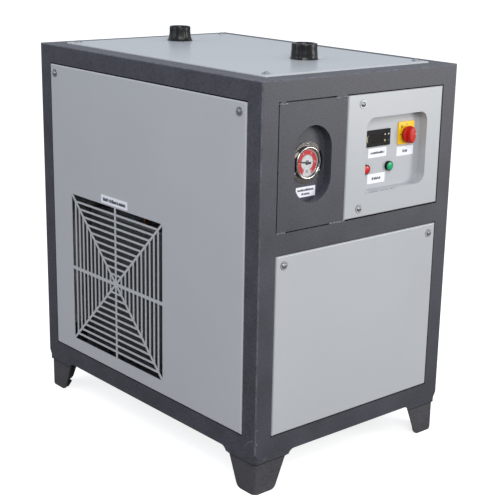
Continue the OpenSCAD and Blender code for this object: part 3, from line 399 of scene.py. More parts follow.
# Polythene shrink film: black, with wrinkles along the pipe that catch thin pale streaks.
finish("black_shrink_film", "060607", "0D0D0F", 9, (0.20, 0.42), 5.0, 0.25,
       stretch=(1, 1, 0.35), Specular_IOR_Level=0.35)
# Polypropylene tape: clear, so only its shine and a faint pale tint show.
finish("clear_tape", "C9CED8", "D6DBE4", 10, (0.12, 0.22), 3.0, 0.02)
print("finishes", len(FINISHES))

# %% [markdown]
# ## Clear window
# The gauge's window is clear polycarbonate.

# %% Clear window
WINDOW_ALPHA = 0.04
# Clear polycarbonate: only a thin shine, with the dial plain to see behind it.
clear_window = finish("clear_polycarbonate_window", "0A0B0C", "0E0F10", 40, (0.02, 0.04), 30,
                      0.002, Specular_IOR_Level=0.3)
node_of(clear_window, "BsdfPrincipled").inputs["Alpha"].default_value = WINDOW_ALPHA
print("window", clear_window.name)

# %% [markdown]
# ## Finishes on the CAD parts
# The record names a finish slot for every part, so one table from slot to material covers them.
# A material could also be picked part by part, but parts that share a slot then drift apart.

# %% Give every CAD part its finish
SLOT_FINISH = {
    "frame_coat": "powder_coat_dark_textured", "foot_coat": "powder_coat_dark_feet",
    "galvanised": "galvanised_sheet", "panel_coat": "powder_coat_light_semigloss",
    "zinc": "zinc_plated_steel", "steel": "satin_steel", "chrome": "polished_chrome",
    "black_plastic": "moulded_black_plastic", "display": "smoked_display_window",
    "key_plastic": "moulded_pale_keys", "yellow_plastic": "moulded_yellow_plastic",
    "red_plastic": "moulded_red_plastic", "red_glaze": "clear_red_lens",
    "green_glaze": "clear_green_lens", "label_film": "white_label_film",
    "dial_white": "enamelled_white_dial", "pointer_black": "black_enamelled_pointer",
    "gauge_glass": "clear_polycarbonate_window", "fin_aluminium": "rolled_aluminium_fins",
    "motor_coat": "stoved_black_enamel", "compressor_coat": "stoved_black_enamel",
    "grommet_rubber": "vulcanised_rubber", "foam_rubber": "nitrile_foam_lagging",
    "drier_coat": "stoved_green_enamel", "copper": "drawn_copper_tube",
    "brass": "machined_brass", "pipe_steel": "mill_scale_steel_tube",
    "black_film": "black_shrink_film"}
for part in frame["record"]["subparts"]:
    mesh = frame["nodes"][part["node"]].data
    mesh.materials.clear()
    mesh.materials.append(FINISHES[SLOT_FINISH[part["material_slot"]]])

# %% [markdown]
# ## Helpers for pieces
# A new piece starts as a bmesh. When its shape is done, one function cleans it, makes its object,
# names its finish and hangs it on its moving body.

# %% Make a piece from a bmesh
# Points closer than this, in metres, are the same point.
SAME_POINT = 1e-6


def piece(name, bm, body, finish_name, stands_for=(), smooth=35.0):
    """Makes a piece that rides a body. Edges sharper than smooth degrees stay crisp."""
    bmesh.ops.remove_doubles(bm, verts=bm.verts, dist=SAME_POINT)
    bmesh.ops.recalc_face_normals(bm, faces=bm.faces)
    mesh = bpy.data.meshes.new(name)
    bm.to_mesh(mesh)
    bm.free()
    obj = bpy.data.objects.new(name, mesh)
    bpy.context.scene.collection.objects.link(obj)
    mesh.materials.append(FINISHES[finish_name])
    mesh.shade_smooth()
    mesh.set_sharp_from_angle(angle=math.radians(smooth))
    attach(obj, body)
    if stands_for:
        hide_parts(*stands_for)
    print(name, len(mesh.polygons), "faces")


print("piece helper ready")


# %% Turned shapes
def turn(bm, profile, centre, axis, steps):
    """Spins a closed outline of (radius, height) points, in mm, round an axis through centre."""
    axis = Vector(axis)
    side = axis.orthogonal().normalized()
    rim = [bm.verts.new(Vector(centre) + (side * r + axis * h) * MM) for r, h in profile]
    edges = [bm.edges.new((rim[i], rim[(i + 1) % len(rim)])) for i in range(len(rim))]
    bmesh.ops.spin(bm, geom=rim + edges, cent=centre, axis=axis, angle=2 * math.pi,
                   steps=steps, use_merge=True, use_duplicate=False)


print("lathe helper ready")


# %% Blocks with rounded edges
def block(bm, centre, size, radius, turned=None):
    """A box with rounded edges. Centre in metres, size and radius in mm."""
    place = Matrix.Translation(centre) @ (turned or Matrix.Identity(4))
    scale = Matrix.Diagonal((size[0] * MM, size[1] * MM, size[2] * MM, 1))
    made = bmesh.ops.create_cube(bm, size=1.0, matrix=place @ scale)
    edges = list({e for v in made["verts"] for e in v.link_edges})
    if radius > 0:
        bmesh.ops.bevel(bm, geom=edges, offset=radius * MM, offset_type="OFFSET",
                        segments=2, profile=0.5, affect="EDGES", material=-1)


print("block helper ready")

# %% [markdown]
# ## Film on the pipe stubs
# The open stubs are wrapped for shipping: a tube of black film is pulled over each, folded into its
# mouth, and spreads into a hem on the top panel. A shrink would be hard to simulate for so small a
# thing, so a turned profile is pushed in and out with noise that is drawn out along the pipe.

# %% The film sleeves
low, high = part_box("pipe_sleeves")
TOP_MM = (high.z - low.z) / MM
FILM = [(20.5, TOP_MM - 12), (20.5, TOP_MM - 1.0), (21.4, TOP_MM), (23.6, TOP_MM + 0.3),
        (24.9, TOP_MM - 0.5), (25.4, TOP_MM - 2.2), (25.3, 27), (25.4, 24), (25.3, 21), (25.6, 18),
        (25.9, 15), (26.3, 12), (26.9, 8), (27.9, 5), (29.2, 2.5), (30.4, 0.8), (30.8, 0.15),
        (24.5, 0.15), (24.5, TOP_MM - 1.4), (20.9, TOP_MM - 1.4), (20.9, TOP_MM - 12)]
# From the CAD sleeves' ends to the stubs' axes.
HEM_MM = 28.15
STUBS = [Vector(((low.x + high.x) / 2, y, low.z)) for y in (low.y + HEM_MM * MM,
                                                            high.y - HEM_MM * MM)]
# The nearer sleeve hangs this far out from its pipe, in full from this share of its height up.
LOOSE_MM, LOOSE_FROM = 2.8, 0.35
# The film's inner wall, inside this radius, and its foot stay put.
INNER_MM, FOOT_MM = 24.8, 0.1
# Wrinkles: how busy the noise is round the pipe and along it, how far apart the two stubs'
# patterns lie, their depth in mm at the mouth, and how much deeper they are at the hem.
ROUND, ALONG, APART = 4.5, 32, 40
MOUTH_DEPTH, HEM_DEPTH = 0.25, 1.1
film = bmesh.new()
for stub in STUBS:
    turn(film, FILM, stub, (0, 0, 1), steps=96)
for v in film.verts:
    stub = min(STUBS, key=lambda s: (s - v.co).length)
    out = Vector((v.co.x - stub.x, v.co.y - stub.y, 0))
    if out.length < INNER_MM * MM or v.co.z - stub.z < FOOT_MM * MM:
        continue
    drop = 1 - (v.co.z - stub.z) / (TOP_MM * MM)
    at = Vector((out.normalized().x * ROUND, out.normalized().y * ROUND + stub.y * APART,
                 v.co.z * ALONG))
    push = noise.noise(at) * (MOUTH_DEPTH + HEM_DEPTH * max(drop, 0))
    if stub is STUBS[0]:
        push += LOOSE_MM * min(1.0, max(0.0, (1 - drop) / LOOSE_FROM))
    v.co += out.normalized() * push * MM
piece("film_sleeves", film, "cabinet", "black_shrink_film",
      stands_for=["pipe_sleeves"], smooth=60)

# %% [markdown]
# ## Tape
# A strip of clear tape lies on the panel beside each stub, as a faint pale mark. A painted patch
# would do from far off, but a thin solid also catches the light along its edge.

# %% Tape beside the stubs
TAPE_FROM_STUB = Vector((47, 4, 0.1)) * MM
TAPE_SIZE = (26, 7, 0.2)
tape = bmesh.new()
for stub in STUBS:
    block(tape, stub + TAPE_FROM_STUB, TAPE_SIZE, 0.08)
piece("tape_marks", tape, "cabinet", "clear_tape")

# %% [markdown]
# ## Gauge
# A panel gauge has a white enamelled dial with a printed red band, black ticks, a steel pointer
# and a polished bezel. Ink is a few hundredths of a millimetre thick. It could be drawn in the
# dial's material, but laid on as thin solids it stays sharp at any distance.

# %% Gauge positions
low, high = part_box("gauge_dial")
# The pointer's spindle stands this far out of the dial's face.
SPINDLE_MM = 2.3
DIAL = Vector(((low.x + high.x) / 2, 0, (low.z + high.z) / 2))
DIAL_FACE = low.y + SPINDLE_MM * MM
OUT = Vector((0, -1, 0))
print("dial centre", [round(v, 4) for v in DIAL], "face", round(DIAL_FACE, 4))

# %% The polished bezel
low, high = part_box("gauge_bezel")
RIM = (high.y - low.y) / MM
BEZEL = [(30.3, 0), (34.0, 0), (34.0, RIM - 3.2), (33.7, RIM - 1.8), (33.0, RIM - 0.7),
         (32.0, RIM - 0.1), (31.0, RIM), (30.0, RIM - 0.3), (29.0, RIM - 1.0), (28.2, RIM - 1.9),
         (28.2, RIM - 2.0), (30.3, RIM - 2.0)]
bezel = bmesh.new()
turn(bezel, BEZEL, (DIAL.x, high.y, DIAL.z), OUT, steps=96)
piece("polished_bezel", bezel, "cabinet", "polished_chrome",
      stands_for=["gauge_bezel"], smooth=50)

# %% Places on the dial
# The scale's ends, in degrees clockwise from 12 o'clock.
SCALE_START, SCALE_STOP = -148, 148


def scale_angle(i, count):
    """The angle of tick i of a scale in count steps."""
    return SCALE_START + (SCALE_STOP - SCALE_START) * i / count


def dial_point(angle, radius, lift):
    """A point on the dial: clockwise degrees from 12 o'clock, radius and lift in mm."""
    a = math.radians(angle)
    return Vector((DIAL.x + radius * MM * math.sin(a), DIAL_FACE - lift * MM,
                   DIAL.z + radius * MM * math.cos(a)))


print("scale from", SCALE_START, "to", SCALE_STOP, "degrees")


# %% Printed bands on the dial
# The red band's radii, in mm, and how far it runs to each side of 12 o'clock, in degrees.
RED_INNER, RED_OUTER, RED_HALF = 16.9, 26.2, 154
# Ink starts this far above the enamel, in mm, so that the two never share a surface.
INK_FOOT = 0.01
BAND_STEPS = 64


def dial_band(bm, inner, outer, start, stop, lift):
    """A ring segment, from start to stop degrees clockwise, printed on the dial."""
    corners = [dial_point(start, r, t) for r, t in ((inner, INK_FOOT), (outer, INK_FOOT),
                                                    (outer, lift), (inner, lift))]
    verts = [bm.verts.new(c) for c in corners]
    face = bm.faces.new(verts)
    bmesh.ops.spin(bm, geom=[face], cent=(DIAL.x, 0, DIAL.z), axis=OUT,
                   angle=-math.radians(stop - start), steps=BAND_STEPS, use_duplicate=False)


red = bmesh.new()
dial_band(red, RED_INNER, RED_OUTER, -RED_HALF, RED_HALF, 0.06)
piece("dial_red_band", red, "cabinet", "red_dial_print")

# %% Ticks on the dial
# A closed ring stops just short of a full turn, so that its ends don't meet in one face.
NEARLY_ROUND = 359.9


def tick_row(bm, count, every, outer, major, minor, lift, thick):
    """Ticks over the whole scale, as (length, width) in mm, with every so many a major one."""
    for i in range(count + 1):
        angle = scale_angle(i, count)
        length, width = major if i % every == 0 else minor
        turned = Matrix.Rotation(math.radians(angle), 4, "Y")
        block(bm, dial_point(angle, outer - length / 2, lift), (width, thick, length), 0.0, turned)


ticks = bmesh.new()
tick_row(ticks, 50, 10, 16.4, (3.4, 0.55), (1.9, 0.28), 0.05, 0.09)
dial_band(ticks, 16.3, 16.7, SCALE_START, SCALE_STOP, 0.08)
dial_band(ticks, 3.6, 5.0, 0, NEARLY_ROUND, 0.08)
piece("dial_ticks", ticks, "cabinet", "black_print_and_painted_shade")

marks = bmesh.new()
tick_row(marks, 25, 5, 25.6, (3.2, 0.7), (1.8, 0.4), 0.1, 0.12)
piece("dial_white_ticks", marks, "cabinet", "enamelled_white_dial")

# %% Numbers on the dial
# A font's size over the height of its digits, and half the thickness of the ink in mm.
SIZE_OF_DIGIT, HALF_INK_MM = 1.4, 0.04


def number(text, place, height_mm):
    """The mesh of a printed number, as a thin solid that faces the front."""
    curve = bpy.data.curves.new("number", "FONT")
    curve.body = text
    curve.size = height_mm * MM * SIZE_OF_DIGIT
    curve.align_x = "CENTER"
    curve.align_y = "CENTER"
    curve.extrude = HALF_INK_MM * MM
    curve.resolution_u = 2
    holder = bpy.data.objects.new("number", curve)
    bpy.context.scene.collection.objects.link(holder)
    bpy.context.view_layer.update()
    source = holder.evaluated_get(bpy.context.evaluated_depsgraph_get())
    mesh = bpy.data.meshes.new_from_object(source)
    stand = Matrix.Rotation(math.radians(90), 4, "X")
    mesh.transform(Matrix.Translation(place) @ stand)
    bpy.data.objects.remove(holder)
    bpy.data.curves.remove(curve)
    return mesh


def numbers(name, step, radius, height, finish_name):
    """Six numbers, step apart, round the scale at a radius in mm."""
    bm = bmesh.new()
    for i in range(6):
        mesh = number(str(i * step), dial_point(scale_angle(i, 5), radius, 0.1), height)
        bm.from_mesh(mesh)
        bpy.data.meshes.remove(mesh)
    piece(name, bm, "cabinet", finish_name)


numbers("dial_numbers", 4, 20.2, 3.4, "enamelled_white_dial")
numbers("dial_inner_numbers", 2, 10.8, 2.2, "black_print_and_painted_shade")

# %% Plain bars where a dial has its small print
bars = bmesh.new()
for drop, wide, tall in ((15.5, 9, 1.0), (18.0, 6, 0.8), (20.4, 10, 0.8)):
    block(bars, dial_point(180, drop, 0.06), (wide, 0.1, tall), 0.0)
piece("dial_bars", bars, "cabinet", "black_print_and_painted_shade")

# %% [markdown]
# ## Main switch
# The yellow plate carries a red rotary knob on a black neck. The knob is moulded: a round body
# with a thick oval grip on it, every edge rounded. The grip is turned like the body and then
# narrowed sideways, which a lathe could not do but one line of code can.

# %% The red knob
low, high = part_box("isolator_knob")
KNOB = Vector(((low.x + high.x) / 2, low.y, (low.z + high.z) / 2))
DISC = [(0.0, -9.0), (17.3, -9.0), (18.2, -9.6), (18.5, -10.6), (18.3, -14.2), (17.9, -15.0),
        (0.0, -15.0)]
GRIP = [(0.0, 0.0), (13.5, 0.0), (15.6, -0.4), (17.0, -1.4), (17.7, -3.0), (18.1, -6.0),
        (18.3, -9.5), (0.0, -9.5)]
GRIP_NARROWING = 0.60
knob = bmesh.new()
turn(knob, GRIP, KNOB, OUT, steps=96)
for v in knob.verts:
    v.co.x = KNOB.x + (v.co.x - KNOB.x) * GRIP_NARROWING
turn(knob, DISC, KNOB, OUT, steps=96)
piece("red_knob", knob, "switch_knob", "moulded_red_plastic",
      stands_for=["isolator_knob"], smooth=45)

# %% The knob's neck and a small white mark right of its middle
COLLAR = [(0.0, -15.0), (14.2, -15.0), (14.2, -18.6), (14.8, -19.6), (0.0, -19.6)]
STEM = [(0.0, -19.0), (2.95, -19.0), (2.95, -48.0), (0.0, -48.0)]
MARK_ON_KNOB = Vector((8.2, 0.12, 1.6)) * MM
neck = bmesh.new()
turn(neck, COLLAR, KNOB, OUT, steps=64)
turn(neck, STEM, KNOB, OUT, steps=24)
piece("knob_neck", neck, "switch_knob", "moulded_black_plastic")
# A small white mark sits on the knob's front, right of its middle and a little above it.
line = bmesh.new()
block(line, KNOB + MARK_ON_KNOB, (1.8, 0.6, 2.6), 0.15)
piece("knob_white_mark", line, "switch_knob", "white_label_film")

# %% The switch's yellow plate
plate_low, plate_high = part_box("isolator_plate")
PLATE = (plate_low + plate_high) / 2
CORNER_MM, FRONT_EDGE_MM = 3.2, 1.1


def round_off(bm, edges, radius_mm, segments):
    """Rounds some edges of a bmesh."""
    bmesh.ops.bevel(bm, geom=edges, offset=radius_mm * MM, offset_type="OFFSET",
                    segments=segments, profile=0.5, affect="EDGES", material=-1)


yellow = bmesh.new()
scale = Matrix.Diagonal((*(plate_high - plate_low), 1))
bmesh.ops.create_cube(yellow, size=1.0, matrix=Matrix.Translation(PLATE) @ scale)
along_depth = [e for e in yellow.edges
               if abs((e.verts[0].co - e.verts[1].co).normalized().y) > 0.9]
round_off(yellow, along_depth, CORNER_MM, 5)
front = [e for e in yellow.edges if all(v.co.y < plate_low.y + SAME_POINT for v in e.verts)]
round_off(yellow, front, FRONT_EDGE_MM, 3)
piece("switch_plate", yellow, "door", "moulded_yellow_plastic",
      stands_for=["isolator_plate"])

# %% The plate's marks
# Ink on a moulding: its middle lies this far out of the face, and it is this thick, in mm.
INK_OUT, INK_THICK = 0.02, 0.14
# Four strokes of a nought, a dash at the side and a slanted one. From the plate's middle in mm:
# across, up, width, height and turn in degrees.
STROKES = [(-17.0, 14.5, 1.3, 5.6, 0), (-13.8, 14.5, 1.3, 5.6, 0), (-15.4, 17.0, 3.4, 1.2, 0),
           (-15.4, 12.0, 3.4, 1.2, 0), (-17.6, -3.0, 4.6, 1.8, 0), (0.4, 18.4, 1.8, 4.4, 12)]
plate_marks = bmesh.new()
for dx, dz, wide, tall, angle in STROKES:
    turned = Matrix.Rotation(math.radians(angle), 4, "Y")
    middle = Vector((PLATE.x + dx * MM, plate_low.y - INK_OUT * MM, PLATE.z + dz * MM))
    block(plate_marks, middle, (wide, INK_THICK, tall), 0.03, turned)
piece("switch_plate_marks", plate_marks, "door", "black_print_and_painted_shade")

# %% [markdown]
# ## Pilot lamps
# Each lens is a moulded cap with a shallow dome and a small rounded shoulder, held by a black
# ring. A flattened ball would miss the shoulder, so its outline is turned.

# %% The two lenses
LENS_PROFILE = [(0.0, 0.0), (8.7, 0.0), (8.7, 5.2), (8.4, 6.0), (7.7, 6.5), (6.0, 6.8), (3.0, 6.95),
                (0.0, 7.0)]
for name, slot, finish_name in (("red_lens", "red_glaze", "clear_red_lens"),
                                ("green_lens", "green_glaze", "clear_green_lens")):
    low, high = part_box(name)
    centre = Vector(((low.x + high.x) / 2, high.y, (low.z + high.z) / 2))
    cap = bmesh.new()
    turn(cap, LENS_PROFILE, centre, OUT, steps=64)
    piece(name + "_cap", cap, "door", finish_name, stands_for=[name], smooth=50)

# %% [markdown]
# ## Temperature controller
# Its bezel is a flat black moulding with a smoked window, four pale keys and a column of small
# amber symbols. With the power off the display is dark. The symbols stand on a shallow bow, so
# a loop places them.

# %% Symbols on the controller
low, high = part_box("controller")
CTL_LEFT, CTL_FACE = low.x, low.y
CTL_Z = (low.z + high.z) / 2
# Printed amber ink, drawn as coarse as it needs to show.
finish("amber_print", "C9BB7A", "D8CB8E", 6, (0.4, 0.5), 1.0, 0.004)
# The same ink after much use: greyer and fainter.
finish("worn_key_print", "7E7C70", "8C8A7E", 6, (0.4, 0.5), 1.0, 0.004)
# The column's place from the bezel's left edge, its bow and its half height, in mm.
SYMBOL_X, SYMBOL_BOW, SYMBOL_HALF = 6.2, 2.4, 6.8
# A symbol's width in the middle, how much narrower the end ones are, and their height.
SYMBOL_WIDE, SYMBOL_TAPER, SYMBOL_TALL = 2.0, 0.8, 1.5
symbols = bmesh.new()
for k in range(9):
    up = (k - 4) / 4
    place = Vector((CTL_LEFT + (SYMBOL_X + SYMBOL_BOW * up * up) * MM, CTL_FACE - INK_OUT * MM,
                    CTL_Z + up * SYMBOL_HALF * MM))
    block(symbols, place, (SYMBOL_WIDE - SYMBOL_TAPER * abs(up), INK_THICK, SYMBOL_TALL), 0.03)
piece("controller_symbols", symbols, "door", "amber_print")

# %% Pale marks on the four keys
KEY_MARKS = [(3.0, 2.6, "moulded_pale_keys"), (2.8, 3.0, "moulded_pale_keys"),
             (2.6, 4.0, "amber_print"), (1.8, 1.8, "worn_key_print")]
for k, (wide, tall, finish_name) in enumerate(KEY_MARKS, start=1):
    low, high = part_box(f"controller_key_{k}")
    mark = bmesh.new()
    block(mark, Vector(((low.x + high.x) / 2, low.y - INK_OUT * MM, (low.z + high.z) / 2)),
          (wide, INK_THICK, tall), 0.05)
    piece(f"key_{k}_mark", mark, f"key_{k}", finish_name)

# %% [markdown]
# ## Labels
# The printed words are replaced by plain bars: they keep the look of a line of text and say
# nothing. A font would need words, and a texture would blur from close by.

# %% Bars of print
# Widths that a bar can have, in mm, and heights, as shares of the line's.
BAR_WIDTHS, BAR_HEIGHTS = (1.1, 1.5, 1.9, 2.3), (0.72, 0.86, 1.0)
# The gaps between letters and between words, in mm, and how often a word ends.
LETTER_GAP, WORD_GAP, WORD_ENDS = 0.35, 1.4, 0.12
LINE_PITCH = 1.75
# No bar starts closer than this to a line's end. A bar's middle lies this far out, and it is
# this thick, all in mm.
LEAST_ROOM, PRINT_OUT, PRINT_THICK = 1.0, 0.03, 0.12


def print_bars(bm, centre, right, out, lines, seed):
    """Rows of short bars, laid along right, on a label whose face points along out.

    Each line is its length and height in mm."""
    draw = random.Random(seed)
    up = Vector((0, 0, 1))
    turned = Matrix((right, -out, up)).transposed().to_4x4()
    for row, (length, height) in enumerate(lines):
        lift = ((len(lines) - 1) / 2 - row) * height * LINE_PITCH
        at = -length / 2
        while at < length / 2 - LEAST_ROOM:
            wide = min(draw.choice(BAR_WIDTHS), length / 2 - at)
            tall = height * draw.choice(BAR_HEIGHTS)
            place = centre + right * (at + wide / 2) * MM + up * (lift - (height - tall) / 2) * MM
            block(bm, place + out * PRINT_OUT * MM, (wide, PRINT_THICK, tall), 0.0, turned)
            at += wide + (WORD_GAP if draw.random() < WORD_ENDS else LETTER_GAP)


print("print helper ready")


# %% The separate solids of a node
def solid_boxes(node):
    """The low and high corner of each separate solid in a node, from left to right."""
    bm = bmesh.new()
    bm.from_mesh(frame["nodes"][node].data)
    bmesh.ops.remove_doubles(bm, verts=bm.verts, dist=SAME_POINT)
    found, left = [], set(bm.verts)
    while left:
        group, reached = set(), [left.pop()]
        while reached:
            v = reached.pop()
            group.add(v)
            for e in v.link_edges:
                w = e.other_vert(v)
                if w in left:
                    left.remove(w)
                    reached.append(w)
        lo = Vector([min(v.co[i] for v in group) for i in range(3)])
        hi = Vector([max(v.co[i] for v in group) for i in range(3)])
        found.append((lo, hi))
    bm.free()
    return sorted(found, key=lambda b: (round(b[0].x, 3), round(b[0].z, 3)))


print("labels on the door", len(solid_boxes("door_labels")))

# %% Print on the door's labels
RIGHT = Vector((1, 0, 0))
# The switch's label lies right of this and the lamps' label below this, from the controller.
SWITCH_LABEL_X, LAMP_LABEL_Z = CTL_LEFT + 90 * MM, CTL_Z - 50 * MM
door_print = bmesh.new()
for k, (lo, hi) in enumerate(solid_boxes("door_labels")):
    centre = Vector(((lo.x + hi.x) / 2, lo.y, (lo.z + hi.z) / 2))
    if centre.x > SWITCH_LABEL_X:
        line = (15, 6.2)
    elif centre.z > LAMP_LABEL_Z:
        line = (42, 5.0)
    else:
        line = (26, 5.6)
    print_bars(door_print, centre, RIGHT, OUT, [line], 3 + k)
piece("door_label_print", door_print, "door", "black_print_and_painted_shade")

# %% Print on the cabinet's labels
# A label that is longer in y lies on the left panel, and the other under the gauge.
cabinet_print = bmesh.new()
for lo, hi in solid_boxes("cabinet_labels"):
    if hi.y - lo.y > hi.x - lo.x:
        centre = Vector((lo.x, (lo.y + hi.y) / 2, (lo.z + hi.z) / 2))
        print_bars(cabinet_print, centre, OUT, -RIGHT, [(88, 8.0)], 11)
    else:
        centre = Vector(((lo.x + hi.x) / 2, lo.y, (lo.z + hi.z) / 2))
        print_bars(cabinet_print, centre, RIGHT, OUT, [(44, 4.6), (22, 4.6)], 17)
piece("cabinet_label_print", cabinet_print, "cabinet", "black_print_and_painted_shade")

# %% [markdown]
# ## Weld tacks
# The gauge plate is tack-welded into its window near its four corners. Under paint, a tack is a
# small glossy lump. Sculpting would do it, but three squashed balls a tack with a little noise,
# all in one mesh, are enough at this size.

# %% Tacks along the gauge plate's top and bottom
# Powder coat over a weld bead: the coat flows smooth there and shines.
finish("powder_coat_over_weld", "4C4E57", "6C6D76", 8, (0.18, 0.30), 3.0, 0.20, IOR=1.5)
# From the plate's lower left corner, in mm: across, up, and the tack's length.
TACKS = [(2, 257.2, 16), (17, 257.6, 8), (152, 257.4, 12), (163, 258.0, 10), (176, 258.6, 12),
         (5, 1.0, 12), (16, 1.4, 8), (153, 1.2, 12), (166, 1.0, 9), (178, 0.6, 12)]
# Lumps per metre and their depth in mm, out of the plate and up along it.
LUMPS_OUT, LUMP_OUT_MM, LUMPS_UP, LUMP_UP_MM = 300, 0.4, 260, 0.5
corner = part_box("gauge_plate")[0]
draw = random.Random(5)
tacks = bmesh.new()
for x, z, long in TACKS:
    centre = corner + Vector((x, 0, z)) * MM
    for _ in range(3):
        at = centre + Vector((draw.uniform(-0.5, 0.5) * long * MM, 0, draw.uniform(-0.8, 0.8) * MM))
        scale = Matrix.Diagonal((draw.uniform(0.3, 0.5) * long * MM, draw.uniform(0.7, 1.2) * MM,
                                 draw.uniform(1.3, 2.2) * MM, 1))
        bmesh.ops.create_icosphere(tacks, subdivisions=2, radius=1.0,
                                   matrix=Matrix.Translation(at) @ scale)
for v in tacks.verts:
    v.co += Vector((0, noise.noise(v.co * LUMPS_OUT) * LUMP_OUT_MM * MM,
                    noise.noise(v.co * LUMPS_UP) * LUMP_UP_MM * MM))
piece("plate_weld_tacks", tacks, "cabinet", "powder_coat_over_weld", smooth=80)

# %% [markdown]
# ## Painted shade under the recess
# A broken dark line of painted shade, for the shadow under the door's recess, is thin dashes of
# random length, drawn from a seeded generator so that every run lays them alike. No image is
# needed.

# %% Painted shade under the door's recess
# Where they start and stop, from the door's left edge, and their height above its lower edge.
SHADE_FROM, SHADE_TO, SHADE_UP = 60, 150, 49.3
# The shortest and longest dash and gap.
DASH_WIDE, DASH_GAP = (1.5, 6.0), (0.8, 5.0)
door_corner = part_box("control_door")[0]
shade_dashes = bmesh.new()
draw = random.Random(8)
at = door_corner.x + SHADE_FROM * MM
while at < door_corner.x + SHADE_TO * MM:
    wide = draw.uniform(*DASH_WIDE)
    middle = Vector((at + wide / 2 * MM, door_corner.y - 0.01 * MM, door_corner.z + SHADE_UP * MM))
    block(shade_dashes, middle, (wide, 0.08, 1.3), 0.0)
    at += (wide + draw.uniform(*DASH_GAP)) * MM
# The dashes are painted shade, in the print's black finish.
piece("recess_edge_painted_shade", shade_dashes, "door", "black_print_and_painted_shade")

# %% [markdown]
# ## Painted shade in the gaps and at the feet
# A black strip lies in the gap above each side panel and above and below the door, and a black bead
# runs along the joint between the frame's skirt and each foot. Both are painted shade: they stand
# for the shadow deep in these gaps and read as thin black lines. They could be painted on, but as
# solids they also hold up from close by.

# %% Black strips in the gaps, as painted shade
# How far behind the frame's face a strip starts, how deep it is, and where it begins and ends in
# the gap beside a panel and beside the door, all in mm.
STRIP_BACK, STRIP_DEEP = 0.2, 3.0
PANEL_GAP, DOOR_GAP = (0.1, 2.4), (0.4, 2.4)
frame_low, frame_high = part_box("top_rails")


def strip(bm, low, high):
    """A thin block between two corners."""
    block(bm, (low + high) / 2, (high - low) / MM, 0.2)


def behind(face, way):
    """Where a strip starts and ends behind a face, when way leads into the cabinet."""
    return sorted((face + way * STRIP_BACK * MM, face + way * (STRIP_BACK + STRIP_DEEP) * MM))


strips = bmesh.new()
for node, face, way in (("left_side_panel", frame_low.x, 1),
                        ("right_side_panel", frame_high.x, -1)):
    low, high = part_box(node)
    near, far = behind(face, way)
    bottom, top = (high.z + gap * MM for gap in PANEL_GAP)
    strip(strips, Vector((near, low.y, bottom)), Vector((far, high.y, top)))
low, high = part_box("control_door")
near, far = behind(frame_low.y, 1)
for edge, way in ((high.z, 1), (low.z, -1)):
    bottom, top = sorted(edge + way * gap * MM for gap in DOOR_GAP)
    strip(strips, Vector((low.x, near, bottom)), Vector((high.x, far, top)))
# The black strips are painted shade for the shadow in the gaps.
piece("painted_gap_shade", strips, "cabinet", "black_painted_shade")

# %% Painted shade between the skirt and the feet
# The skirt's lower edge, how far the bead runs from the corner, and the corner's slanted cut.
SKIRT_Z, BEAD_ENDS, CORNER_CUT = 72.0, 89.0, 9.0
# The bead's height and depth, and how far it stands back from the frame's face.
BEAD_TALL, BEAD_DEEP, BEAD_BACK = 1.5, 4.6, 0.6
# Across the cut the bead is thinner, and its middle lies this far in, along each side.
CUT_BEAD_DEEP, CUT_BEAD_IN = 2.8, 1.2
# A thin black bead, painted shade for the shadow in the joint under the skirt.
skirt_shade = bmesh.new()
for sx in (-1, 1):
    for sy in (-1, 1):
        corner = Vector((sx * frame_high.x, sy * frame_high.y, SKIRT_Z * MM))
        along = (CORNER_CUT + BEAD_ENDS) / 2
        long = BEAD_ENDS - CORNER_CUT
        inward = BEAD_BACK + BEAD_DEEP / 2
        drop = BEAD_TALL / 2
        block(skirt_shade, corner - Vector((sx * along, sy * inward, drop)) * MM,
              (long, BEAD_DEEP, BEAD_TALL), 0.4)
        block(skirt_shade, corner - Vector((sx * inward, sy * along, drop)) * MM,
              (BEAD_DEEP, long, BEAD_TALL), 0.4)
        slant = CORNER_CUT / 2 + CUT_BEAD_IN
        turned = Matrix.Rotation(math.radians(-45 * sx * sy), 4, "Z")
        block(skirt_shade, corner - Vector((sx * slant, sy * slant, drop)) * MM,
              (CORNER_CUT * math.sqrt(2), CUT_BEAD_DEEP, BEAD_TALL), 0.4, turned)
piece("skirt_painted_shade", skirt_shade, "cabinet", "black_painted_shade")

# %% [markdown]
# ## Scratches
# The front corner has been knocked at the foot of the post. Scratched powder coat turns pale, so
# each scratch is a run of thin pale slivers on the face. A mask in the coat could do it too, but
# it would need its own coordinates for one small place.

# %% Scratches at the front corner
# Powder coat bruised by a knock: a paler, chalky grey.
finish("scratched_powder_coat", "85868C", "A3A4AA", 4, (0.45, 0.6), 1.0, 0.01)
# The long scratch on the left side, as (distance from the front, height) in mm, and how much of
# each stretch is bared.
SCRATCH, BARED = [(6, 125), (13, 122.5), (19, 119), (25, 114.5), (30, 109), (34, 103)], 0.8
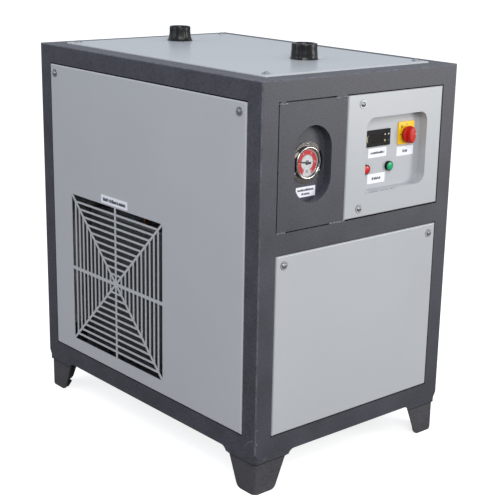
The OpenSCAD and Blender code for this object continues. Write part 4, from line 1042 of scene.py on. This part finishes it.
# Chips on the front, in mm: across from the left edge, height, width and tallness.
CHIPS = [(4.5, 118, 2.2, 1.6), (26, 79, 2.6, 1.5), (30, 81, 1.6, 1.2), (5, 150, 1.0, 3.4)]
scratches = bmesh.new()
for (y0, z0), (y1, z1) in zip(SCRATCH, SCRATCH[1:]):
    middle = Vector((frame_low.x, frame_low.y + (y0 + y1) / 2 * MM, (z0 + z1) / 2 * MM))
    turned = Matrix.Rotation(math.atan2(z1 - z0, y1 - y0), 4, "X")
    block(scratches, middle, (0.12, math.hypot(y1 - y0, z1 - z0) * BARED, 0.5), 0.0, turned)
for x, z, wide, tall in CHIPS:
    block(scratches, Vector((frame_low.x + x * MM, frame_low.y, z * MM)), (wide, 0.12, tall), 0.05)
piece("corner_scratches", scratches, "cabinet", "scratched_powder_coat")

# %% [markdown]
# ## Floor
# A plain pale floor, which isn't part of the machine. It is big, so that its edge lies far off.
# It is seen as white paper with a faint shadow, but it throws less light up than white paper
# would, as the dull floor of a workshop does, so that the dark frame keeps its depth.

# %% The floor
# From the middle to an edge, in metres, and how much the seen floor glows of itself.
FLOOR_HALF, FLOOR_GLOW = 14.0, 0.78
floor_bm = bmesh.new()
bmesh.ops.create_grid(floor_bm, x_segments=4, y_segments=4, size=FLOOR_HALF)
floor_mesh = bpy.data.meshes.new("studio_floor")
floor_bm.to_mesh(floor_mesh)
floor_bm.free()
floor = bpy.data.objects.new("studio_floor", floor_mesh)
bpy.context.scene.collection.objects.link(floor)
paper = bpy.data.materials.new("matt_white_paper")
paper.use_nodes = True
tree = paper.node_tree
tree.nodes.clear()
dim = add(tree, "BsdfDiffuse", {"Color": linear("8B8783")})
lit = add(tree, "BsdfDiffuse", {"Color": linear("C2C3C4")})
glow = add(tree, "Emission", {"Color": linear("FFFFFF"), "Strength": FLOOR_GLOW})
bright = add(tree, "AddShader", {0: lit.outputs[0], 1: glow.outputs[0]})
ray = add(tree, "LightPath")
sheet = add(tree, "MixShader", {0: ray.outputs["Is Camera Ray"], 1: dim.outputs[0],
                                2: bright.outputs[0]})
add(tree, "OutputMaterial", {"Surface": sheet.outputs[0]})
floor_mesh.materials.append(paper)
print("floor laid")
